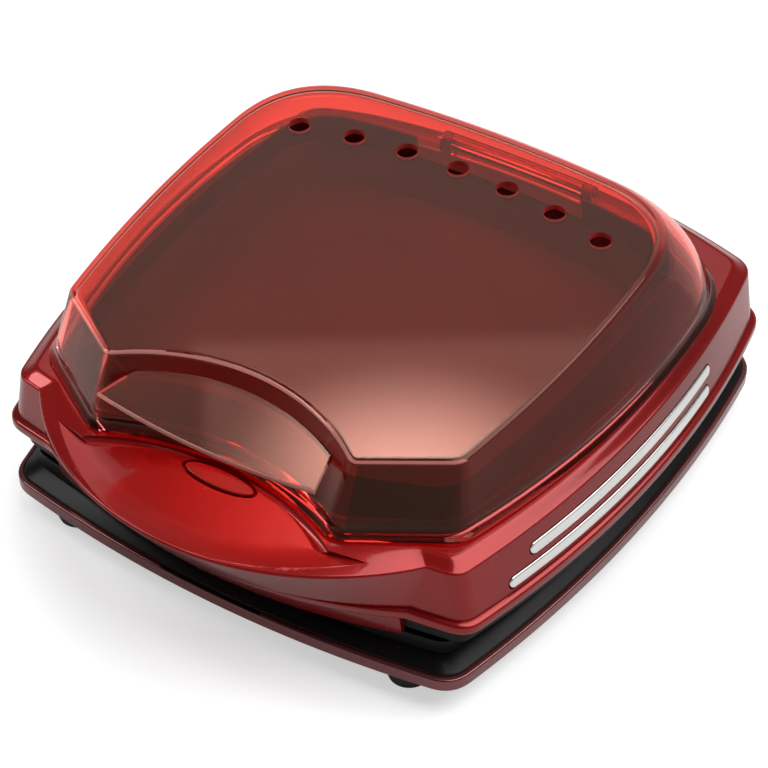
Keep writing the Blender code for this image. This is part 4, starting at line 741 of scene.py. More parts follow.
def stripSolid(name, row, side, clearance=0.0, material=None):
    # A bar that follows the skirt, with round ends and a rounded face; with a clearance, its groove
    z = strips["heights"][row]
    front, rear = strips["fronts"][row] - clearance, strips["rears"][row] + clearance
    half, back = strips["width"] / 2 + clearance, strips["proud"] - strips["depth"] - clearance
    ends = [half * (1 - math.cos(math.pi / 2 * step / strips["endSteps"]))
            for step in range(strips["endSteps"])]
    stops = [front + reach for reach in ends]
    stops += [front + half + (rear - front - 2 * half) * step / strips["runSteps"]
              for step in range(strips["runSteps"] + 1)]
    stops += [rear - reach for reach in reversed(ends)]
    rings = []
    for y in stops:
        reach = min(y - front, rear - y, half)
        tall = max(math.sqrt(max(half ** 2 - (half - reach) ** 2, 0.0)), half * strips["tip"])
        lean = (skirtX(y, z + half) - skirtX(y, z - half)) / (2 * half)
        crown = strips["proud"] * (strips["tipCrown"] + (1 - strips["tipCrown"]) * tall / half)
        if clearance:
            face = [(strips["grooveTop"], -tall), (strips["grooveTop"], tall)]
        else:
            face = [(crown * strips["edgeCrown"] + out, up)
                    for out, up in rounding(crown * (1 - strips["edgeCrown"]), tall, -90, 90, 12)]
        rings.append([(side * (skirtX(y, z) + out + lean * up), y, z + up)
                      for out, up in [(back, -tall), *face, (back, tall)]])
    return loft(name, rings, material)


def makeLidHousing():
    housing = loft("lid_housing", lidOuterRings(), finishes["lidRed"])
    wide, back = .16, .17  # beyond the lid's reach
    apronBack = beadPlan["front"] + lid["skirtStep"]
    underBead = (level["apronLow"] - past, level["beadLow"])
    carve(housing,
          boxes("under_bead", [(-wide, wide)], (apronBack, back), underBead),
          boxes("beside_apron", bothSides(lid["apronHalf"], wide),
                (lid["tongueApex"], apronBack + past), underBead),
          loft("lid_hollow", lidHollowRings()))
    fuse(housing,
         uprightRods("lid_bosses", fourPlaces(lid["screwPlaces"]), level["frameSeat"],
                     level["deck"] - lid["bossSkin"], lid["bossRadius"]),
         slabs("cover_lugs", earProfile(*coverAxis, coverHinge["radius"], level["deck"] - lid["lugFoot"],
                                        coverHinge["radius"]), [lugSpan]))
    slotX, slotY = lid["lampSlotHalf"]
    carve(housing,
          loft("dish", dishRings()),
          loft("tray_opening", [coverPlanRing(traySeatPlan, gap, z) for z in tray["opening"]]),
          hingeRoom("hinge_slots", hinge["y"] - hinge["radius"] - past, level["apronLow"], hinge["slotTop"]),
          loft("window_pocket", [windowRing(-window["border"], window["proud"] - window["thickness"] - gap),
                                 windowRing(-window["border"], window["pocketTop"])]),
          boxes("lamp_slot", [(-slotX, slotX)], (window["y"] - slotY, window["y"] + slotY),
                (level["gripRoof"] - past, dish["floor"] + dish["depth"] / 2)),
          *[stripSolid("groove", row, side, strips["border"]) for row in (0, 1) for side in (-1, 1)])
    dress(housing, "grill_lid", "lid_shell")


# Bun tray; its opening in the deck is cut between two heights
tray = {"floor": .0600, "wall": .0014, "rim": .0900, "border": .0064, "notchHalf": .0430,
        "notchY": (.045, .12), "notchZ": (.0785, .094), "opening": (.0566, .0756)}


def makeTray():
    seat, wall, border = level["coverLow"], tray["wall"], -tray["border"]
    made = loft("bun_tray_pan", [coverPlanRing(*row) for row in (
        (trayFootPlan, 0.0, tray["floor"] - wall), (traySeatPlan, 0.0, seat), (footPlan, border, seat),
        (footPlan, border, seat + wall), (traySeatPlan, wall / 2, seat + wall),
        (trayRimPlan, 0.0, tray["rim"]))], finishes["tray"])
    carve(made,
          loft("tray_hollow", [coverPlanRing(*row) for row in (
              (trayFootPlan, -wall, tray["floor"]), (traySeatPlan, -wall, seat + wall),
              (trayRimPlan, -wall, tray["rim"] + past))]),
          boxes("tray_notch", [(-tray["notchHalf"], tray["notchHalf"])], tray["notchY"], tray["notchZ"]))
    dress(made, "grill_lid", "bun_tray")


def makeWindow():
    low, high = window["proud"] - window["thickness"], window["proud"] - window["round"]
    made = loft("indicator_window", [windowRing(0.0, low), windowRing(0.0, high)]
                + softEdge(windowRing, window["round"], high, 0, 90)[1:], finishes["window"])
    dress(made, "grill_lid", "indicator_lens")


def makeStrips():
    for row, word in ((0, "upper"), (1, "lower")):
        for side, hand in ((-1, "left"), (1, "right")):
            bar = stripSolid(f"chrome_bar_{word}_{hand}", row, side, material=finishes["chrome"])
            dress(bar, "grill_lid", f"{word}_strip_{hand}")


makeLidHousing()
print("lid housing made")

# Bun cover
cover = {"flare": .0028, "flange": .0018, "flareRise": .0050, "flareSteps": 6, "slope": .043,
         "levelY": -.1000, "wall": .0024, "wallSteps": 14, "footRound": .0004, "flangeRound": .0005,
         "flareBend": .8, "edge": .0016, "brim": .0011, "innerRound": .0014, "roundDrops": (.0150, .0060),
         "roundMiddles": (.1080, .0995), "roundCorners": (.0975, .0900), "vents": 7, "ventPitch": .0252,
         "ventRadius": .0048, "ventY": .0610, "ventBow": .0100, "ventZ": (.1031, .1205)}
wallFootPlan = grownCover(footPlan, -cover["flare"])
wallLow = level["coverLow"] + cover["flange"] + cover["flareRise"]
wallHeight = level["coverFront"] - wallLow
wallShares = [step / cover["wallSteps"] for step in range(cover["wallSteps"])]


def rearRound(share):
    # The rear edge's middle and corners at a share of the cover's height, on smooth curves
    stops = [(0.0, wallFootPlan["rearMiddle"], wallFootPlan["rearY"])]
    stops += [(1 - down / wallHeight, middle, corner) for down, middle, corner in
              zip(cover["roundDrops"], cover["roundMiddles"], cover["roundCorners"])]
    stops.append((1.0, topPlan["rearMiddle"], topPlan["rearY"]))
    weights = [math.prod((share - other[0]) / (stop[0] - other[0]) for other in stops if other is not stop)
               for stop in stops]
    return [sum(weight * stop[index] for weight, stop in zip(weights, stops)) for index in (1, 2)]


def coverRing(share, inset=0.0, drop=0.0):
    plan = between(wallFootPlan, topPlan, share)
    plan["rearMiddle"], plan["rearY"] = rearRound(share)
    return atHeight(coverOutline(grownCover(plan, -inset)), wallLow + wallHeight * share - drop,
                    cover["slope"] * share, cover["levelY"])


def coverOuterRings():
    low, flange, soft = level["coverLow"], level["coverLow"] + cover["flange"], cover["footRound"]
    rings = [coverPlanRing(footPlan, -soft, low), coverPlanRing(footPlan, 0.0, low + soft),
             coverPlanRing(footPlan, 0.0, flange - cover["flangeRound"])]
    for step in range(1, cover["flareSteps"]):  # the flare sweeps in from the flange to the wall
        share = step / cover["flareSteps"]
        turn, bend = math.pi / 2 * share, cover["flareBend"]
        up = cover["flareRise"] * ((1 - math.cos(turn)) * bend + (1 - bend) * share)
        rings.append(coverPlanRing(footPlan, -cover["flare"] * math.sin(turn), flange + up))
    edge = cover["edge"]
    topShare = 1 - edge / wallHeight
    rings += [coverRing(share) for share in wallShares if share < topShare]
    rings += [coverRing(topShare + (1 - topShare) * up / edge, edge - side)
              for side, up in rounding(edge, edge, 0, 90)]
    rings.append(coverRing(1.0, edge + cover["brim"]))  # a narrow brim on the flat top, over the wall
    return rings


def coverInnerRings():
    wall, soft = cover["wall"], cover["innerRound"]
    rings = [coverPlanRing(wallFootPlan, -wall, level["coverLow"] - past)]
    rings += [coverRing(share, wall, wall * share) for share in wallShares]
    rings += [coverRing(1 - (soft - up) / wallHeight, wall + soft - side, wall)
              for side, up in rounding(soft, soft, 0, 90)]
    return rings


def ventPlaces():
    middle = (cover["vents"] - 1) / 2
    return [((index - middle) * cover["ventPitch"],
             cover["ventY"] - cover["ventBow"] * ((index - middle) / middle) ** 2)
            for index in range(cover["vents"])]


# Finger tab at the cover's front
tab = {"halfFront": .0520, "halfRear": .0470, "endFront": -.1255, "endRear": -.1062, "apex": -.0940,
       "bow": .0040, "thickness": .0024, "round": .0007, "lean": .055, "sideSteps": 8}


def tabRing(inset, z):
    points = closedOutline([(tab["halfFront"] - inset, tab["endFront"] + inset, 0.0),
                            (tab["halfRear"] - inset, tab["endRear"] - inset, 0.0)],
                           [tab["bow"], 0.0, tab["apex"] - tab["endRear"]],
                           [fine["front"], tab["sideSteps"], fine["front"]], 2)
    return atHeight(points, z, tab["lean"], tab["endFront"])


# The cover is one piece of plastic; its deeper tints stand partly for the thick parts seen along the light
# and partly are painted shade
coverSlots = ["clearRed", "ventRed", "clearFoot", "clearHighlight", "clearRim", "clearShadedWall"]
plainTint, ventTint, footTint, highlightTint, rimTint, shadedWallTint = range(len(coverSlots))
# Where the tints end: heights in shares of the flare's or the edge's, slopes as parts of a face's normal
tints = {"firstRow": 7, "footHigh": .7, "edgeFall": (.05, .8), "edgeSlope": (.35, .9), "edgeFront": -.28,
         "tabBack": .006, "tabSide": .001, "tabHigh": .003, "tabSlope": .9, "rimSlope": .05, "rimFall": 1.5,
         "rimLean": .1, "rimSideways": .8, "brimArea": 1e-5, "brimFront": -.0875, "wallFall": .9,
         "ventReach": 1.01, "ventSlope": .5}


def tintWalls(made, rows, columns):
    # Painted shade on the front, its corners and the right wall, by row and column, before the cutters go
    # through
    corner = fine["corner"] * 2
    rightWall = fine["nose"] + corner + fine["side"]
    leftNose = rightWall + corner + fine["rear"] + corner + fine["side"] + corner
    for row in range(tints["firstRow"], rows):
        for column in range(columns):
            face = made.data.polygons[row * columns + column]
            if column < fine["nose"] + corner / 2 or leftNose <= column < leftNose + fine["nose"]:
                face.material_index = footTint
            elif column < rightWall:
                face.material_index = shadedWallTint


def tintFace(face, vents):
    x, y, z = face.center
    sideways, rearward, upward = face.normal
    flareHigh = level["coverLow"] + cover["flange"] + cover["flareRise"] * tints["footHigh"]
    fall = (level["coverFront"] + cover["slope"] * (y - cover["levelY"]) - z) / cover["edge"]
    if z < flareHigh:
        face.material_index = footTint
    # Painted highlight on the front-facing top edges and on the tab's sides
    onEdge = (tints["edgeFall"][0] < fall < tints["edgeFall"][1]
              and tints["edgeSlope"][0] < upward < tints["edgeSlope"][1] and rearward < tints["edgeFront"])
    onTab = (y < tab["endRear"] - tints["tabBack"] and abs(x) < tab["halfFront"] + tints["tabSide"]
             and abs(z - level["tab"]) < tints["tabHigh"])
    if onEdge or onTab and abs(upward) < tints["tabSlope"]:
        face.material_index = highlightTint
    elif upward > tints["rimSlope"] and fall < tints["rimFall"]:
        leans = max(rearward, abs(sideways) * tints["rimSideways"]) > tints["rimLean"]
        if leans or face.area < tints["brimArea"] and y > tints["brimFront"]:
            face.material_index = rimTint
    elif fall < tints["wallFall"] and face.material_index in (footTint, shadedWallTint):
        face.material_index = plainTint
    away = min(math.hypot(x - ventX, y - ventY) for ventX, ventY in vents)
    if (away < cover["ventRadius"] * tints["ventReach"] and z > level["tab"]
            and abs(upward) < tints["ventSlope"]):
        face.material_index = ventTint


def makeBunCover():
    rings, vents = coverOuterRings(), ventPlaces()
    made = loft("bun_cover_clear", rings, finishes["clearRed"])
    for name in coverSlots[1:]:
        made.data.materials.append(finishes[name])
    tintWalls(made, len(rings) - 1, len(rings[0]))
    carve(made, loft("cover_hollow", coverInnerRings()))
    half = coverHinge["barrelHalf"]
    fuse(made, crossRods("cover_barrel", [(-half, half)], coverAxis, coverHinge["radius"]),
         softPrism("tab_blank", tabRing, level["tab"] - tab["thickness"], level["tab"], tab["round"],
                   steps=roundSteps))
    reach = coverHinge["radius"] + hinge["running"]
    carve(made,
          boxes("lug_slots", bothSides(lugSpan[0] - hinge["running"], lugSpan[1] + hinge["running"]),
                (coverHinge["y"] - reach, coverHinge["y"] + coverHinge["slotBack"]),
                (level["coverLow"] - past, coverHinge["z"] + reach)),
          crossRods("barrel_bore", [(-coverHinge["boreHalf"], coverHinge["boreHalf"])], coverAxis,
                    coverHinge["rod"] + gap),
          uprightRods("vent_holes", vents, *cover["ventZ"], cover["ventRadius"]))
    for face in made.data.polygons:
        tintFace(face, vents)
    dress(made, "bun_cover", "bun_cover")


makeBunCover()
print("bun cover made")
makeTray()
print("tray made")
makeWindow()
makeStrips()
print("window and bars made")

# Base housing: a painted lip ring round a black deck. The seam between them and the deck's curve are
# (inset, height) pairs, the curve in shares of the deck's run and rise
base = {"tuck": .0040, "tuckHigh": .0012, "lipRound": .0008, "lipFoot": .0006, "deckRun": .0090,
        "seam": ((.0016, .0001), (.0017, -.0005), (.0022, -.0005), (.0023, .0005)),
        "deckStart": (.0026, .0007), "deckCurve": ((.02, .06), (.5, .55), (.85, .93), (1.0, 1.0)),
        "opening": .0130, "wall": .0025, "inletHalf": .0150, "inletRear": .1370, "inletTop": .0290,
        "inletRound": .0012, "inletCorner": .003, "glandHole": .0053, "glandZ": .0198}
# The black part: the seam, the deck above it, and the lip's own edge in the middle share of its width
black = {"reach": .0006, "slope": .2, "above": .00012, "below": .0002, "inset": .0015, "middle": .2}


def lipRing(inset, z):
    return housingRing(lipPlan, -inset, z)


def inletBlock(name, inset, low, soft=0.0):
    # The raised block at the rear for the cord's inlet, or its hollow
    corner, top = base["inletCorner"], base["inletTop"] - inset
    x, rear = base["inletHalf"] - inset - corner, base["inletRear"] - inset - corner
    front = base["inletRear"] - hinge["inletDepth"] + inset + corner

    def ring(shrink, z):
        return [(centreX + side, centreY + along, z)
                for centreX, centreY, turn in ((x, front, -90), (x, rear, 0), (-x, rear, 90),
                                               (-x, front, 180))
                for side, along in rounding(corner - shrink, corner - shrink, turn, turn + 90)]

    rings = [ring(0.0, low), ring(0.0, top - soft)]
    if soft:
        rings += softEdge(ring, soft, top - soft, 0, 90)[1:]
    return loft(name, rings)


def makeBaseHousing():
    low, high, foot, bend = level["lipLow"], level["lipHigh"], base["lipFoot"], base["lipRound"]
    deck, opening, wall = level["baseDeck"], base["opening"], base["wall"]
    rings = [lipRing(base["tuck"], level["baseFloor"]),
             lipRing(base["tuck"] / 2, level["baseFloor"] + base["tuckHigh"]), lipRing(foot, low)]
    rings += softEdge(lipRing, foot, low + foot, -60, 0, 3)
    rings += softEdge(lipRing, bend, high - bend, 0, 90, 4)
    rings += [lipRing(inset, high + up) for inset, up in base["seam"]]
    inset, start = base["deckStart"]
    run, rise = base["deckRun"] - inset, deck - high - start
    rings += [lipRing(inset + run * share, high + start + rise * lift) for share, lift in base["deckCurve"]]
    rings.append(lipRing(opening + past, deck))
    shell = loft("base_housing", rings, finishes["baseRed"])
    fuse(shell,
         inletBlock("inlet_block", 0.0, low, base["inletRound"]),
         slabs("ear_blanks", earProfile(*hingeAxis, hinge["radius"], hinge["earRoot"], hinge["rootHalf"]),
               earSpans))
    floorLow, rear, glandZ = level["baseFloor"] - past, base["inletRear"], base["glandZ"]
    carve(shell,
          loft("base_hollow", [lipRing(base["tuck"] + wall, floorLow), lipRing(wall, low),
                               lipRing(wall, high - wall), lipRing(base["deckRun"], deck - wall),
                               lipRing(opening + past, deck - wall)]),
          loft("base_mouth", [lipRing(opening, low), lipRing(opening, deck + past)]),
          inletBlock("inlet_hollow", wall, floorLow),
          rods("gland_hole", [((0, rear - wall - past, glandZ), (0, rear + past, glandZ))],
               base["glandHole"]),
          crossRods("ear_holes", bothSides(hinge["inner"] - past, hingeOuter + past), hingeAxis,
                    hinge["pin"] + gap))
    shell.data.materials.append(finishes["black"])
    middle = max(x for x, _, _ in lipRing(black["inset"], high)) * black["middle"]
    for face in shell.data.polygons:
        x, _, z = face.center
        onTop = z > high - black["reach"] and (face.normal.z > black["slope"] or z > high + black["reach"])
        if onTop and (z > high + black["above"] or z < high - black["below"] or abs(x) < middle):
            face.material_index = 1
    dress(shell, "base", "base_shell")


makeBaseHousing()
print("base housing made")

# Black frames that carry the grill plates
frames = {"lowerInset": .0080, "upperInset": .0050, "round": .0006, "seatLow": -.0004, "seatHigh": .0002,
          "seatFlare": .0006, "inletHalf": .0156, "inletY": (.1214, .137), "wellHigh": .0078,
          "wellRadius": .0033, "holeLow": .0058, "holeRadius": .0018}
plate = {"rimWidth": .0040, "rim": .0024, "gap": .0008, "soft": .0006, "draft": .0030, "wall": .0022,
         "lowerDepth": .0085, "upperDepth": .0060, "bridgeX": .0090, "bridgeY": .0070, "overlap": .0015,
         "edge": .0010, "bowlRound": .0018, "bowlEase": .0004, "bulgeRound": .0014, "bulgeInset": .0012,
         "arcSteps": 5, "ribWidth": .0030, "ribHeight": .0016, "ribPitch": .0160, "ribs": 4,
         "ribShoulder": .45, "ribEnds": ((0.0, .35), (.0005, .75), (.0014, 1.0))}
mouldRadius = (platePlan["halfFront"] + plate["overlap"] - plate["bridgeX"] / 2) / 2
mouldX, mouldY = mouldRadius + plate["bridgeX"] / 2, mouldRadius + plate["bridgeY"] / 2
mouldPlaces = fourPlaces(((mouldX, mouldY), (mouldX, -mouldY)))


def plateRing(by, z):
    return atHeight(bowedSquare(grownHousing(platePlan, by), fine["plate"], fine["plateCorner"]), z)


def makeLowerFrame():
    low, high, seat = level["frameLow"], level["partingLine"], plate["rimWidth"] + gap
    made = softPrism("lower_black_frame", lambda inset, z: lipRing(frames["lowerInset"] + inset, z),
                     low, high, frames["round"], finishes["black"])
    carve(made,
          loft("lower_opening", [plateRing(gap, low - past), plateRing(gap, high)]),
          loft("lower_seat", [plateRing(seat, high - plate["rim"] - gap),
                              plateRing(seat, high + frames["seatLow"]),
                              plateRing(seat + frames["seatFlare"], high + frames["seatHigh"]),
                              plateRing(seat + frames["seatFlare"], high + past)]),
          hingeRoom("lower_ear_room", hinge["y"] - hinge["radius"] - hinge["running"], level["lipLow"],
                    hinge["z"]),
          boxes("lower_inlet_room", [(-frames["inletHalf"], frames["inletHalf"])], frames["inletY"],
                (level["lipLow"], hinge["z"])))
    dress(made, "base", "lower_frame")


def makeUpperFrame():
    low, high, seat = level["upperFrameLow"], level["frameSeat"] - gap, plate["rimWidth"] + gap
    screws = fourPlaces(lid["screwPlaces"])
    made = softPrism("upper_black_frame",
                     lambda inset, z: housingRing(beadPlan, -frames["upperInset"] - inset, z),
                     low, high, frames["round"], finishes["black"])
    carve(made,
          loft("upper_opening", [plateRing(gap, low), plateRing(gap, high + past)]),
          loft("upper_seat", [plateRing(seat, low - past),
                              plateRing(seat, level["partingLine"] + plate["gap"] + plate["rim"] + gap)]),
          uprightRods("upper_wells", screws, low - past, low + frames["wellHigh"], frames["wellRadius"]),
          uprightRods("upper_holes", screws, low + frames["holeLow"], high + past, frames["holeRadius"]),
          hingeRoom("upper_ear_room", hinge["y"] - hinge["radius"] - past, low - past, high + past))
    (y, z), radius = hingeAxis, hinge["radius"]
    back = y - radius * hinge["webBack"]
    web = [(back, z - radius), *[(y + along, z + up) for along, up in rounding(radius, radius, -90, 90, 20)],
           (back, z + radius)]
    fuse(made, slabs("knuckles", web, [knuckleSpan]))
    carve(made, crossRods("knuckle_holes", bothSides(knuckleSpan[0] - past, knuckleSpan[1] + past), hingeAxis,
                          hinge["pin"] + hinge["running"]))
    dress(made, "grill_lid", "upper_frame")


def ribSolids(name, floorZ, up):
    # Rounded searing ribs across each mould's floor, lower and narrower at their ends
    half, tall, shoulder = plate["ribWidth"] / 2, plate["ribHeight"], plate["ribShoulder"]
    crown = [(-side, tall * shoulder + rise)
             for side, rise in rounding(half, tall * (1 - shoulder), 0, 180, 8)]
    section = [(-half, -plate["wall"] / 2), *crown, (half, -plate["wall"] / 2)]
    solids = []
    for centreX, centreY in mouldPlaces:
        for index in range(plate["ribs"]):
            offset = (index - (plate["ribs"] - 1) / 2) * plate["ribPitch"]
            reach = math.sqrt((mouldRadius - plate["draft"]) ** 2 - offset ** 2) - plate["ribWidth"]
            stops = [(inset - reach, size) for inset, size in plate["ribEnds"]]
            stops += [(-y, size) for y, size in reversed(stops)]
            solids.append([[(centreX + offset + x * (.5 + .5 * size), centreY + y,
                             floorZ - up * (z if z < 0 else z * size)) for x, z in section]
                           for y, size in stops])
    return lofts(name, solids)


def makePlate(name, rimLow, up, depth, body, node):
    # A cast plate with four round moulds; up is 1 where they go up from the rim, -1 where they go down
    rimHigh = rimLow + plate["rim"]
    face, back = (rimLow, rimHigh) if up > 0 else (rimHigh, rimLow)
    floorZ, radius, foot, wall = face + up * depth, mouldRadius, mouldRadius - plate["draft"], plate["wall"]
    places = [(x, y, 0.0) for x, y in mouldPlaces]
    made = softPrism(name, lambda inset, z: plateRing(plate["rimWidth"] - inset, z), rimLow, rimHigh,
                     plate["soft"], finishes["nonstick"])
    outer, middle = floorZ + up * wall, back - up * plate["rim"] / 2
    ease, bowl = plate["bowlEase"], plate["bowlRound"]
    fuse(made, turned(name + "_bulges", [
        (0, middle), (radius + wall, middle), (foot + wall + ease, outer - up * plate["bulgeRound"]),
        (foot + wall - plate["bulgeInset"], outer), (0, outer)], places, steps=fine["mould"]))
    edge, above = plate["edge"], face - up * past
    arc = rounding(1, 1, 0, 90, plate["arcSteps"])
    mould = [(0, above), (radius + edge * .8, above)]
    mould += [(radius + edge * (1 - rise) * .8, face + up * edge * (1 - side)) for side, rise in arc]
    mould += [(foot + ease - bowl * (1 - side), floorZ - up * bowl * (1 - rise)) for side, rise in arc]
    carve(made, turned(name + "_moulds", mould + [(0, floorZ)], places, steps=fine["mould"]))
    fuse(made, ribSolids(name + "_ribs", floorZ, up))
    dress(made, body, node)


makeLowerFrame()
makeUpperFrame()
makePlate("lower_cooking_plate", level["partingLine"] - plate["rim"], -1, plate["lowerDepth"], "base",
          "lower_grill_plate")
makePlate("upper_cooking_plate", level["partingLine"] + plate["gap"], 1, plate["upperDepth"], "grill_lid",
          "upper_grill_plate")
print("frames and plates made")

# Feet, pins, gland and rod, turned finely; the gland's profile is (radius, height) from its flange
feet = {"radius": .0095, "toe": .0080, "stem": .0022, "stemHigh": .0045, "soft": .0005,
        "places": ((.0840, -.1090), (.0920, .1080))}
gland = [(.0046, .0045), (.0054, .0036), (.0061, .0018), (.0063, .0009), (.0063, gap), (.0050, gap),
         (.0050, -.0028), (.0063, -.0028), (.0050, -.00405), (.0034, -.00405), (.0034, .0041), (.0038, .0045)]


def makeFeet():
    radius, toe, high, soft = feet["radius"], feet["toe"], level["footTop"], feet["soft"]
    profile = [(0, high + feet["stemHigh"]), (feet["stem"], high + feet["stemHigh"]), (feet["stem"], high),
               (radius - soft, high), (radius, high - soft), (radius, high * .42),
               (radius - .0004, high * .25), (toe + .0006, .0006), (toe, 0.0), (toe - .0022, 0.0),
               (toe - .0028, .0008), (0, .0008)]
    names = ("front_left", "front_right", "rear_left", "rear_right")
    for name, place in zip(names, fourPlaces(feet["places"])):
        foot = turned("rubber_foot_" + name, profile, [(*place, 0.0)], material=finishes["rubber"])
        dress(foot, "base", "foot_" + name)


def makePins():
    end, head, thick = hingeOuter - hinge["inner"] + gap, hinge["pinHead"], hinge["headLength"]
    profile = [(0, end + thick), (head * .8, end + thick), (head * .95, end + thick * .8),
               (head, end + thick * .5), (head, end), (hinge["pin"], end), (hinge["pin"], -thick),
               (0, -thick)]
    for word, side in (("left", -1), ("right", 1)):
        pin = turned("hinge_pin_" + word, profile, [(side * hinge["inner"], *hingeAxis)], (side, 0, 0),
                     finishes["steel"])
        dress(pin, "base", "lid_hinge_pin_" + word)


def makeGland():
    made = turned("cord_inlet_gland", gland, [(0, base["inletRear"], base["glandZ"])], (0, 1, 0),
                  finishes["rubber"])
    dress(made, "base", "cord_gland")


def makeRod():
    radius = coverHinge["rod"]
    half, soft = lugSpan[1] + radius / 2, radius / 4
    profile = [(0, 2 * half), (radius * .7, 2 * half), (radius, 2 * half - soft), (radius, soft),
               (radius * .7, 0), (0, 0)]
    made = turned("cover_rod", profile, [(-half, *coverAxis)], (1, 0, 0), finishes["steel"])
    dress(made, "grill_lid", "cover_hinge_rod")


makeFeet()
makePins()
makeGland()
makeRod()
print("feet, pins, gland and rod made")

# Finishes of the nodes that stay as the frame has them; the screws are steel
nodeFinish = {
    "bottom_cover": "black", "lower_heater": "steel", "upper_heater": "steel", "lower_reflector": "sheet",
    "upper_reflector": "sheet", "lower_thermostat": "ceramic", "upper_thermostat": "ceramic",
    "lower_thermal_fuse": "steel", "upper_thermal_fuse": "steel", "terminal_block": "ceramic",
    "power_lamp": "lampRed", "ready_lamp": "lampGreen", "lamp_holder": "black",
}
for name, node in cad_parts.items():
    node.data.materials.clear()
    node.data.materials.append(finishes[nodeFinish.get(name, "steel")])

# Camera, at the photograph's angle
view = {"focal": 117.19, "sensor": 36.0, "azimuth": 33.25, "elevation": 41.49, "roll": -.36,
        "distance": 1.10887, "aimX": .00109, "aimY": .02545, "near": .01, "far": 20.0}
azimuth, elevation, roll = (math.radians(view[key]) for key in ("azimuth", "elevation", "roll"))
backward = Vector((math.sin(azimuth) * math.cos(elevation), -math.cos(azimuth) * math.cos(elevation),
                   math.sin(elevation)))
rightward = Vector((math.cos(azimuth), math.sin(azimuth), 0.0))
upward = backward.cross(rightward)
sight = rightward * math.cos(roll) + upward * math.sin(roll)
crown = upward * math.cos(roll) - rightward * math.sin(roll)
camera = placed("camera", bpy.data.cameras.new("camera"))
camera.data.lens, camera.data.sensor_width = view["focal"], view["sensor"]
camera.data.clip_start, camera.data.clip_end = view["near"], view["far"]
place = backward * view["distance"] + rightward * view["aimX"] + upward * view["aimY"]
place.y += originShift
camera.matrix_world = Matrix.Translation(place) @ Matrix((sight, crown, backward)).transposed().to_4x4()
bpy.context.scene.camera = camera

# Studio; the box is a softbox in the rear panel, with a hot lamp in it and a brighter upper part
studio = {
    "floorHalf": 4, "paperTones": ((.3, (.57,) * 3), (.8, (.60,) * 3)), "paperGlow": .54, "paperBounce": .08,
    "horizon": (.10, (.55,) * 3), "above": (.45, (.12,) * 3),
    "sunPower": 2.9, "sunSpread": 55.0, "sunFrom": (.45, .35, 1.2),
    "panelPlace": (-.5536, .8210, 1.1897), "panelAim": (-.0819, .0513, -.0083), "panelSize": (.90, .86),
    "panelGlow": .86, "boxGlow": .90, "boxLeft": .675, "boxRight": .113, "boxLow": .390, "blur": .012,
    "boxHot": 12.8, "hotPlace": (.462, .546), "hotReach": .172, "hotShape": (.80, 1.15),
    "boxHigh": 1.7, "highFrom": .58, "highTo": .70,
    "stripPlace": (-.834, -.371, 1.127), "stripSize": (.24, 1.10), "stripGlow": 8.5,
}
half = studio["floorHalf"]
floorMesh = bpy.data.meshes.new("studio_floor")
floorMesh.from_pydata([(-half, -half, 0), (half, -half, 0), (half, half, 0), (-half, half, 0)], [],
                      [(0, 1, 2, 3)])
floor = placed("studio_floor", floorMesh)
# The paper glows where it is looked at, so that it stays pale in the shade; in reflections it is plain
paper = Finish("pale_paper", {"Roughness": .9, "Specular IOR Level": .2, "Emission Strength": 1.0})
bounced = paper.node("ShaderNodeLightPath", output="Is Reflection Ray")
paper.feed("Principled BSDF", "Emission Color",
           paper.mix(bounced, solid(*(studio["paperGlow"],) * 3), solid(*(studio["paperBounce"],) * 3)))
floorMesh.materials.append(paper.drive(colour=paper.ramp(paper.noise("paperDrift"), studio["paperTones"])))
paper.material.cycles.emission_sampling = "NONE"

# Pale walls near the horizon, darker above, so that level faces stay deep and upright ones catch light;
# white where it is looked at directly or straight through the clear plastic
world = bpy.data.worlds.new("studio")
bpy.context.scene.world = world
world.use_nodes = True
sky = Nodes(world.node_tree)
height = sky.axis(sky.node("ShaderNodeTexCoord", output="Generated"), "Z")
walls = sky.ramp(height, [studio["horizon"], studio["above"]])
ray = {key: sky.node("ShaderNodeLightPath", output=key)
       for key in ("Is Camera Ray", "Is Transmission Ray", "Diffuse Depth", "Glossy Depth")}
unbounced = (1 - (ray["Diffuse Depth"] + ray["Glossy Depth"])).math("MAXIMUM", 0.0)
direct = ray["Is Camera Ray"].math("MAXIMUM", ray["Is Transmission Ray"] * unbounced)
sky.feed("Background", "Color", sky.mix(direct, walls, solid(1.0, 1.0, 1.0)))


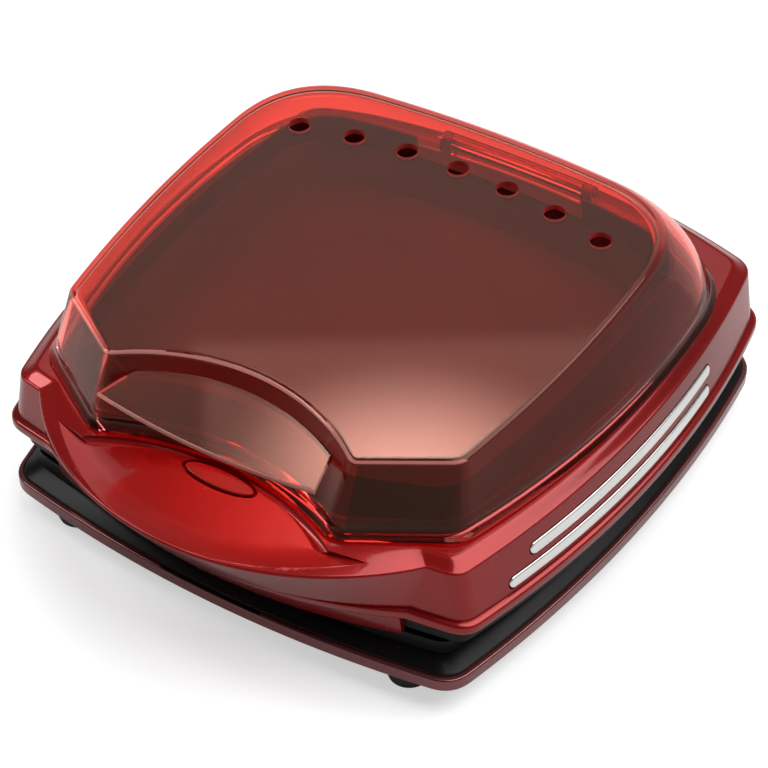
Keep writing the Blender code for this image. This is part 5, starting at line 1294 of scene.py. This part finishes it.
def aimed(name, light, place, aim):
    made = placed(name, light)
    made.location = place
    made.rotation_euler = (Vector(aim) - Vector(place)).to_track_quat("-Z", "Y").to_euler()


def areaLight(name, size, place, aim):
    # Its radiance is 1 at an emission strength of 1
    light = bpy.data.lights.new(name, "AREA")
    light.shape, light.size, light.size_y = "RECTANGLE", *size
    light.energy = math.pi * size[0] * size[1]
    light.use_nodes = True
    aimed(name, light, place, aim)
    return light


sun = bpy.data.lights.new("overhead", "SUN")
sun.energy, sun.angle = studio["sunPower"], math.radians(studio["sunSpread"])
aimed("overhead", sun, studio["sunFrom"], (0, 0, 0))
panel = areaLight("rear_panel", studio["panelSize"], studio["panelPlace"], studio["panelAim"])
glow = Nodes(panel.node_tree)
spot = glow.scaled(glow.node("ShaderNodeNewGeometry", output="Parametric"), (*studio["panelSize"], 0.0))
across, up = [glow.axis(spot, name) for name in "XY"]


def fade(value, start, end, low=0.0, high=1.0):
    return glow.node("ShaderNodeMapRange", {"interpolation_type": "SMOOTHSTEP"}, {
        "Value": value, "From Min": start, "From Max": end, "To Min": low, "To Max": high})


blur = studio["blur"]
inside = (fade(across, studio["boxRight"] - blur, studio["boxRight"])
          * fade(across, studio["boxLeft"] - blur, studio["boxLeft"] + blur, 1.0, 0.0)
          * fade(up, studio["boxLow"] - blur, studio["boxLow"] + blur))
hotPlace = [at * by for at, by in zip(studio["hotPlace"], studio["hotShape"])]
away = glow.node("ShaderNodeVectorMath", {"operation": "DISTANCE"},
                 {0: glow.scaled(spot, (*studio["hotShape"], 0.0)), 1: (*hotPlace, 0.0)}, output="Value")
hot = fade(away, 0.0, studio["hotReach"], studio["boxHot"], 0.0)
high = fade(up, studio["highFrom"], studio["highTo"], 0.0, studio["boxHigh"])
glow.feed("Emission", "Strength", (hot + high + studio["boxGlow"]) * inside + studio["panelGlow"])
strip = areaLight("front_strip", studio["stripSize"], studio["stripPlace"], (0, 0, 0))
strip.node_tree.nodes["Emission"].inputs["Strength"].default_value = studio["stripGlow"]
bpy.context.scene.view_settings.view_transform = "Standard"
